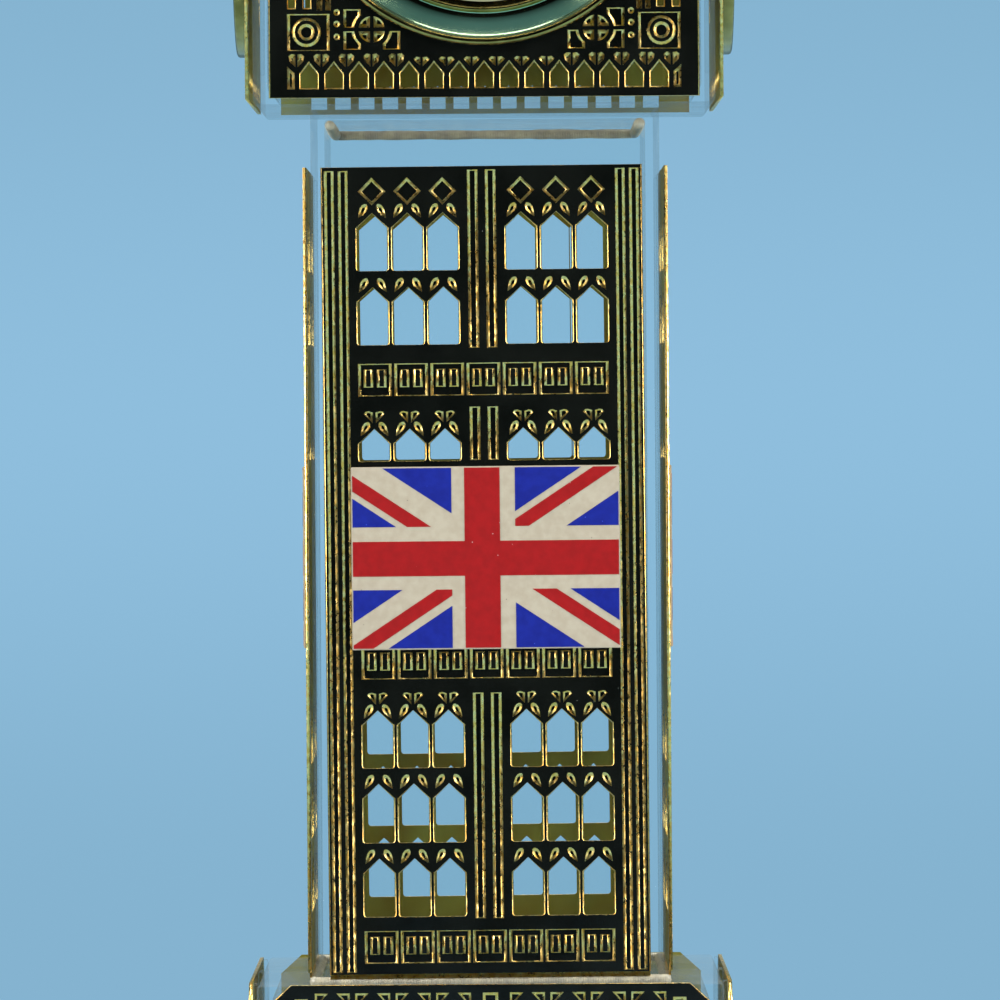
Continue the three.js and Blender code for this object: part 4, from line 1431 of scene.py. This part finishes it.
PLATE_FACE, DIAL_HEIGHT = 17.2, 105.4
TURNING_STEPS = 160
BEZEL_PROFILE = [
    (13.57, 0.4), (13.57, 1.95), (13.54, 2.07), (13.47, 2.16), (13.38, 2.2), (13.24, 2.2), (13.15, 2.15),
    (13.08, 2.02), (12.8, 1.78), (12.45, 1.5), (12.05, 1.24), (11.65, 1.05), (11.3, 0.97), (11.22, 1.0),
    (11.16, 1.14), (11.08, 1.24), (10.98, 1.27), (10.9, 1.22), (10.85, 1.1), (10.85, 0.2), (10.4, 0.2),
    (10.4, 0.0), (10.85, 0.0), (10.85, -1.3), (11.35, -1.3), (11.35, 0.4),
]
DISH_FACES = range(7, 13)  # the steps of the profile that form the dish

# Spun brass, plated and polished: a mirror with fine turning lines that run round it. Its pale green
# colour is painted reflection: the green-blue room that the dish mirrors, put into the metal's tint.
bezel_dish_tinted_reflection, tree, shader = new_material("bezel_dish_painted_green_reflection")
shader.inputs["Metallic"].default_value = 1.0
tree.links.new(speckled(tree, "#aac394", "#b8d0a2", 6), shader.inputs["Base Color"])
tree.links.new(varied(tree, 0.1, 0.18, 4), shader.inputs["Roughness"])
place = place_in(tree)
turning = add_node(
    tree, "ShaderNodeMapping", {"Vector": place, "Location": (0, 0, -DIAL_HEIGHT * MM)}
).outputs[0]
rings = add_node(
    tree,
    "ShaderNodeTexWave",
    {"Vector": turning, "Scale": per_metre(0.12) / 20, "Distortion": 0.4},
    wave_type="RINGS",
    rings_direction="Y",
).outputs[1]
tree.links.new(
    add_node(tree, "ShaderNodeBump", {"Height": rings, "Distance": 0.001 * MM, "Strength": 0.4}).outputs[0],
    shader.inputs["Normal"],
)
# The bezel's rims, gilt over the same plating: warmer than the dish, and rubbed by handling.
gilt_rim = finished("bezel_rim_gilt", "#9a8344", "#c2a55c", 1.5, (0.14, 0.26, 1), (0.6, 0.01), 1.0)


def in_clock(name, mesh, material, node=None, body="clock_insert", sharp=math.radians(35)):
    """A turned or flat piece put in the clock's own frame: x right, y up, z out of the dial."""
    piece = as_piece(name, stand(mesh, "front", PLATE_FACE * MM, DIAL_HEIGHT * MM))
    wear(piece, material)
    smooth(piece, sharp)
    if node:
        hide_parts(node)
    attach(piece, body)
    return piece


bezel_mesh = turned("bezel", BEZEL_PROFILE, TURNING_STEPS, closed=True)
bezel = in_clock("bezel_spun", bezel_mesh, gilt_rim, "bezel", sharp=math.radians(50))
bezel.data.materials.append(bezel_dish_tinted_reflection)
for face in bezel.data.polygons:
    if face.index // TURNING_STEPS in DISH_FACES:
        face.material_index = 1

# Closed-cell foam: dull black, with cut cells that catch a little light.
cut_foam, tree, shader = new_material("closed_cell_foam_cut")
tree.links.new(speckled(tree, "#161616", "#2c2c2b", 0.3, 4.0), shader.inputs["Base Color"])
shader.inputs["Roughness"].default_value = 0.9
tree.links.new(bumped(tree, 0.2, 0.05, 4.0), shader.inputs["Normal"])
GASKET_PROFILE = [
    (11.95, 0.07), (12.02, 0.05), (13.13, 0.05), (13.2, 0.1), (13.2, 0.3), (13.13, 0.35), (12.02, 0.35), (11.95, 0.3),
]
in_clock("bezel_gasket_foam", turned("gasket", GASKET_PROFILE, 96, closed=True), cut_foam, "bezel_gasket")

# Mineral glass: clear and hard, with a polished face and a faint green edge.
lens_glass, tree, shader = new_material("mineral_glass_polished")
shader.inputs["Base Color"].default_value = linear("#e9f2ee")
shader.inputs["Metallic"].default_value = 1.0
shader.inputs["Roughness"].default_value = 0.04
output = next(n for n in tree.nodes if n.type == "OUTPUT_MATERIAL")
grazing = add_node(tree, "ShaderNodeLayerWeight", {"Blend": 0.5}).outputs["Facing"]
steep = add_node(tree, "ShaderNodeMath", {0: grazing, 1: 5.0}, operation="POWER").outputs[0]
mirrored_share = add_node(tree, "ShaderNodeMapRange", {"Value": steep, "To Min": 0.04, "To Max": 0.95}).outputs[0]
film = varied(tree, 0.9, 1.05, 5)
cloud = add_node(tree, "ShaderNodeMath", {0: mirrored_share, 1: film}, operation="MULTIPLY").outputs[0]
open_way = add_node(tree, "ShaderNodeBsdfTransparent", {"Color": linear("#f6fbf9")}).outputs[0]
surface = add_node(tree, "ShaderNodeMixShader", {0: cloud, 1: open_way, 2: shader.outputs[0]})
tree.links.new(surface.outputs[0], output.inputs["Surface"])
tree.links.new(bumped(tree, 6, 0.002), shader.inputs["Normal"])
LENS_PROFILE = [(0, 0.3), (10.7, 0.3), (10.75, 0.35), (10.75, 0.68), (10.63, 0.8), (0, 0.8)]
in_clock("lens_ground", turned("lens", LENS_PROFILE, 120), lens_glass, "lens")

# --- Clock insert: dial and hands --------------------------------------------------------------------------
# A cream card dial printed in black: Roman numerals, a minute track and rings of fine ornament. Two
# black spade hands, each stamped from thin steel.

DIAL_FRONT = -1.2
PRINT_PROUD = 0.015
NUMERALS = ("XII", "I", "II", "III", "IIII", "V", "VI", "VII", "VIII", "IX", "X", "XI")
NUMERAL_SIZE, NUMERAL_RADIUS = 1.75, 7.75
TRACK_RADIUS = 9.55

# Printed dial card: cream, slightly mottled and matt.
dial_card, tree, shader = new_material("dial_card_cream")
tree.links.new(speckled(tree, "#b8ae93", "#c5bca3", 1.2, 5.0), shader.inputs["Base Color"])
shader.inputs["Roughness"].default_value = 0.6
tree.links.new(bumped(tree, 0.3, 0.004), shader.inputs["Normal"])
# Black dial ink: dense, thin and a little glossy where it lies thick.
dial_ink = finished("dial_ink_black", "#131211", "#24211e", 0.5, (0.3, 0.5, 0.6), (0.2, 0.003))

TRACK_INPUTS = {
    "Marks": ("NodeSocketInt", 60),
    "Every nth is wide": ("NodeSocketInt", 5),
    "Radius": ("NodeSocketFloat", TRACK_RADIUS),
    "Mark length": ("NodeSocketFloat", 0.62),
    "Mark width": ("NodeSocketFloat", 0.1),
    "Mark height": ("NodeSocketFloat", PRINT_PROUD),
    "Wide share": ("NodeSocketFloat", 2.4),
    "Ink": ("NodeSocketMaterial", dial_ink),
}
tracking, given, track_sockets = start_tree("minute_track", TRACK_INPUTS)
circle = add_node(
    tracking, "GeometryNodeMeshCircle", {"Vertices": given.outputs["Marks"], "Radius": given.outputs["Radius"]}
).outputs[0]
mark_size = add_node(
    tracking,
    "ShaderNodeCombineXYZ",
    {"X": given.outputs["Mark width"], "Y": given.outputs["Mark length"], "Z": given.outputs["Mark height"]},
).outputs[0]
mark = add_node(tracking, "GeometryNodeMeshCube", {"Size": mark_size}).outputs[0]
number = add_node(tracking, "GeometryNodeInputIndex").outputs[0]
left_over = add_node(
    tracking, "ShaderNodeMath", {0: number, 1: given.outputs["Every nth is wide"]}, operation="MODULO"
).outputs[0]
is_hour = add_node(tracking, "ShaderNodeMath", {0: left_over, 1: 0.5}, operation="LESS_THAN").outputs[0]
widening = add_node(
    tracking, "ShaderNodeMapRange", {"Value": is_hour, "To Min": 1.0, "To Max": given.outputs["Wide share"]}
).outputs[0]
stretch = add_node(tracking, "ShaderNodeCombineXYZ", {"X": widening, "Y": 1.0, "Z": 1.0}).outputs[0]
outwards = add_node(tracking, "GeometryNodeInputPosition").outputs[0]
facing = add_node(tracking, "FunctionNodeAlignRotationToVector", {"Vector": outwards}, axis="Y").outputs[0]
marks = add_node(
    tracking,
    "GeometryNodeInstanceOnPoints",
    {"Points": circle, "Instance": mark, "Rotation": facing, "Scale": stretch},
).outputs[0]
dressed(tracking, marked(tracking, marks, 0), [given.outputs["Ink"]])


def printed_ring(form, radius, width):
    """A printed hoop, added to a bmesh."""
    steps = 120
    inner = [form.verts.new((x, y, PRINT_PROUD)) for x, y in ring(0, 0, radius - width / 2, steps)]
    outer = [form.verts.new((x, y, PRINT_PROUD)) for x, y in ring(0, 0, radius + width / 2, steps)]
    for i in range(steps):
        j = (i + 1) % steps
        form.faces.new((inner[i], outer[i], outer[j], inner[j]))


def numeral_meshes(size, radius):
    """The printed numerals, each standing on the dial's rim side, as one mesh about the dial's middle."""
    form = bmesh.new()
    for hour, text in enumerate(NUMERALS):
        curve = bpy.data.curves.new(f"numeral_{hour}", "FONT")
        curve.body = text
        curve.size = size
        curve.align_x, curve.align_y = "CENTER", "CENTER"
        curve.extrude = PRINT_PROUD / 2
        writing = bpy.data.objects.new(f"numeral_{hour}", curve)
        bpy.context.scene.collection.objects.link(writing)
        bpy.context.view_layer.update()
        graph = bpy.context.evaluated_depsgraph_get()
        glyphs = bpy.data.meshes.new_from_object(writing.evaluated_get(graph), depsgraph=graph)
        turn = -hour * math.pi / 6
        glyphs.transform(
            Matrix.Rotation(turn, 4, "Z") @ Matrix.Translation((0, radius, 0)) @ Matrix.Diagonal((0.78, 1, 1, 1))
        )
        form.from_mesh(glyphs)
        bpy.data.objects.remove(writing)
        bpy.data.curves.remove(curve)
        bpy.data.meshes.remove(glyphs)
    return mesh_of("numerals", form)


def a_point():
    """A mesh of one point, for trees that make everything themselves."""
    mesh = bpy.data.meshes.new("point")
    mesh.from_pydata([(0, 0, 0)], [], [])
    return mesh


def printed_face():
    """Everything printed on a dial, as one mesh about its middle with the card's face on z = 0."""
    form = bmesh.new()
    for radius, width in ((10.15, 0.1), (8.95, 0.1), (6.55, 0.12), (6.25, 0.06), (3.3, 0.1), (1.5, 0.1)):
        printed_ring(form, radius, width)
    form.from_mesh(numeral_meshes(NUMERAL_SIZE, NUMERAL_RADIUS))
    form.from_mesh(run_tree("track", a_point(), tracking, track_sockets, TRACK_INPUTS))
    for petal in range(12):
        turn = Matrix.Rotation(petal * math.pi / 6, 4, "Z")
        shape = [turn @ Vector((x, y, 0)) for x, y in leaf((0, 3.5), (0, 6.0), 0.5)]
        slab(form, [(p.x, p.y) for p in shape], 0, PRINT_PROUD * 0.8)
    return mesh_of("print", form)


DIAL_PROFILE = [(0, -0.3), (10.5, -0.3), (10.6, -0.2), (10.6, -0.06), (10.54, 0), (0, 0)]
card = turned("dial", DIAL_PROFILE, 96)
card.transform(Matrix.Translation((0, 0, DIAL_FRONT)))
in_clock("dial_card", card, dial_card, "dial")
face_print = printed_face()
shown_print = face_print.copy()
shown_print.transform(Matrix.Translation((0, 0, DIAL_FRONT)))
in_clock("dial_print", shown_print, dial_ink, None)

# Stamped steel, blacked in oil: satin, with soft edges from the punch.
blacked_steel = finished("hand_steel_blacked", "#0d0d0e", "#1a191a", 0.8, (0.25, 0.4, 0.7), (0.3, 0.004), 0.6)
for node, body in (("minute_hand", "minute_train"), ("hour_hand", "hour_train")):
    hand = as_piece(f"{node}_stamped", copy_of(node))
    wear(hand, blacked_steel)
    round_edges(hand, 0.03, 2)
    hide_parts(node)
    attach(hand, body)

# --- Dummy dials -------------------------------------------------------------------------------------------
# The other three sides carry dummies, glued flat to their plates: a pressed gilt ring round a printed card,
# with the hands printed on.

DUMMY_BACK, DUMMY_DIAL = 17.3, 0.25
DUMMY_RING = [
    (13.57, 0), (13.57, 0.72), (13.5, 0.84), (13.36, 0.9), (13.17, 0.9), (13.0, 0.82), (12.3, 0.6), (11.6, 0.42),
    (11.05, 0.35), (11.0, 0.42), (10.93, 0.45), (10.86, 0.44), (10.8, 0.36), (10.75, 0.25), (10.75, 0),
]
DUMMY_SHARE = 0.98
HAND_EDGE = [(0.14, -1.4), (0.2, 0), (0.32, 3.6), (0.75, 4.6)]
HAND_BLADE = [(-0.14, -1.4), *HAND_EDGE, (0, 8.4), (-0.75, 4.6), (-0.32, 3.6), (-0.2, 0)]
# for each printed hand: its angle from twelve, its length and width as shares, and how proud it is printed
PRINTED_HANDS = ((-60, 1.0, 1.0, 0.05), (55, 0.68, 1.25, 0.035))

dummy_ring = turned("dummy_ring", DUMMY_RING, 128, closed=True)
form = bmesh.new()
form.from_mesh(face_print)
bmesh.ops.scale(form, vec=(DUMMY_SHARE, DUMMY_SHARE, 1), verts=form.verts)
for angle, length, width, proud in PRINTED_HANDS:
    turn = Matrix.Rotation(math.radians(angle), 4, "Z")
    blade = [turn @ Vector((x * width, y * length, 0)) for x, y in HAND_BLADE]
    slab(form, [(p.x, p.y) for p in blade], 0, proud)
dummy_print = mesh_of("dummy_print", form)
dummy_print.transform(Matrix.Translation((0, 0, DUMMY_DIAL)))
DUMMY_CARD = [(0, 0), (10.74, 0), (10.74, DUMMY_DIAL - 0.04), (10.7, DUMMY_DIAL), (0, DUMMY_DIAL)]
dummy_card = turned("dummy_card", DUMMY_CARD, 96)
for face in FACES[1:]:
    for part, mesh, material, slot in (
        ("ring", dummy_ring, gilt_rim, "gilt_metal"),
        ("card", dummy_card, dial_card, "printed_dial"),
        ("print", dummy_print, dial_ink, "printed_dial"),
    ):
        piece = as_piece(f"fixed_dial_{face}_{part}", stand(mesh, face, DUMMY_BACK * MM, DIAL_HEIGHT * MM))
        wear(piece, material)
        smooth(piece)
        if part == "ring":
            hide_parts(f"fixed_dial_{face}")
        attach(piece, "tower")

# --- Quartz movement ---------------------------------------------------------------------------------------
# Behind the dial sits a small quartz movement: a moulded black case and cover, a button cell, a wound
# coil on a stator, a circuit board, brass wheels that mesh, and a white knob that sets the hands.

# Moulded black plastic: fine spark-eroded grain from the tool, satin.
black_plastic = finished("plastic_black_moulded", "#121213", "#1b1b1c", 2, (0.4, 0.55, 1), (0.12, 0.01))
# Moulded white plastic: creamy, slightly yellowed, smooth.
white_plastic = finished("plastic_white_moulded", "#d9d6c9", "#e6e4da", 2, (0.35, 0.5, 1), (0.3, 0.004))
# Nickel-plated cell can: drawn steel with a soft shine and storage scuffs.
cell_steel = finished("cell_can_nickel_plated", "#a9abac", "#c6c7c6", 1.5, (0.2, 0.42, 0.7), (0.5, 0.005), 1.0)
# Enamelled copper wire: glossy amber film over copper.
copper_wire = finished("copper_wire_enamelled", "#9c4f22", "#bb6a33", 0.6, (0.2, 0.35, 0.5), (0.2, 0.003), 1.0)
# Circuit board: green solder mask over glass cloth, whose weave shows faintly.
solder_mask = finished(
    "circuit_board_solder_mask", "#12502a", "#1d6e3c", 0.7, (0.25, 0.4, 0.6), (0.25, 0.006), mottle=4.0
)
# Wheel brass: punched from sheet and tumbled, yellow with brushed edges.
wheel_brass = finished("wheel_brass_tumbled", "#b08d3d", "#d0ad5a", 1, (0.22, 0.38, 0.5), (0.25, 0.006), 1.0)

# node: (material, slot, body, rounding in millimetres)
MOVEMENT = {
    "movement_case": (black_plastic, "black_plastic", "clock_insert", 0.12),
    "back_cover": (black_plastic, "black_plastic", "clock_insert", 0.1),
    "button_cell": (cell_steel, "cell_steel", "clock_insert", 0.18),
    "stator": (cell_steel, "cell_steel", "clock_insert", 0.04),
    "circuit_board": (solder_mask, "board", "clock_insert", 0.04),
    "minute_wheel": (wheel_brass, "wheel_brass", "minute_wheel_train", 0.03),
    "cannon_pinion": (wheel_brass, "wheel_brass", "minute_train", 0.02),
    "hour_wheel": (wheel_brass, "wheel_brass", "hour_train", 0.03),
    "setting_arbor": (cell_steel, "cell_steel", "setting_train", 0.03),
    "setting_knob": (white_plastic, "white_plastic", "setting_train", 0.08),
}
for node, (material, slot, body, rounding) in MOVEMENT.items():
    part = as_piece(f"{node}_made", copy_of(node))
    wear(part, material)
    round_edges(part, rounding, 2)
    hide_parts(node)
    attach(part, body)

COIL_AXIS, COIL_LOW = (7.1, -11.45), 99.0
COIL_INPUTS = {
    "Turns": ("NodeSocketFloat", 17.0),
    "Winding radius": ("NodeSocketFloat", 0.9 * MM),
    "Winding height": ("NodeSocketFloat", 4.8 * MM),
    "Wire radius": ("NodeSocketFloat", 0.14 * MM),
    "Wire": ("NodeSocketMaterial", copper_wire),
}
winding, given, winding_sockets = start_tree("copper_winding", COIL_INPUTS)
helix = add_node(
    winding,
    "GeometryNodeCurveSpiral",
    {
        "Resolution": 20,
        "Rotations": given.outputs["Turns"],
        "Start Radius": given.outputs["Winding radius"],
        "End Radius": given.outputs["Winding radius"],
        "Height": given.outputs["Winding height"],
    },
).outputs[0]
wire_round = add_node(
    winding, "GeometryNodeCurvePrimitiveCircle", {"Resolution": 6, "Radius": given.outputs["Wire radius"]}
).outputs[0]
wire = add_node(
    winding, "GeometryNodeCurveToMesh", {"Curve": helix, "Profile Curve": wire_round, "Fill Caps": True}
).outputs[0]
dressed(winding, marked(winding, wire, 0), [given.outputs["Wire"]])
coil_mesh = run_tree("coil", a_point(), winding, winding_sockets, COIL_INPUTS)
coil_mesh.transform(Matrix.Translation((COIL_AXIS[0] * MM, COIL_AXIS[1] * MM, (COIL_LOW + 0.4) * MM)))
coil = as_piece("coil_winding", coil_mesh)
smooth(coil, math.radians(80))
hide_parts("coil")
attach(coil, "clock_insert")
BOBBIN = [
    (0, 0), (1.02, 0), (1.05, 0.06), (1.05, 0.24), (1.02, 0.3), (0.76, 0.3), (0.76, 5.3), (1.02, 5.3), (1.05, 5.36),
    (1.05, 5.54), (1.02, 5.6), (0, 5.6),
]
bobbin_mesh = turned("bobbin", BOBBIN, 32)
bobbin_mesh.transform(
    Matrix.Translation((COIL_AXIS[0] * MM, COIL_AXIS[1] * MM, COIL_LOW * MM)) @ Matrix.Scale(MM, 4)
)
bobbin = as_piece("coil_bobbin", bobbin_mesh)
wear(bobbin, white_plastic)
smooth(bobbin)
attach(bobbin, "clock_insert")

# --- Bounds ---------------------------------------------------------------------------------------------------
# The box of everything shown, leaving out the floor, is worked out. Every piece already rides on its body.

low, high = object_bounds()
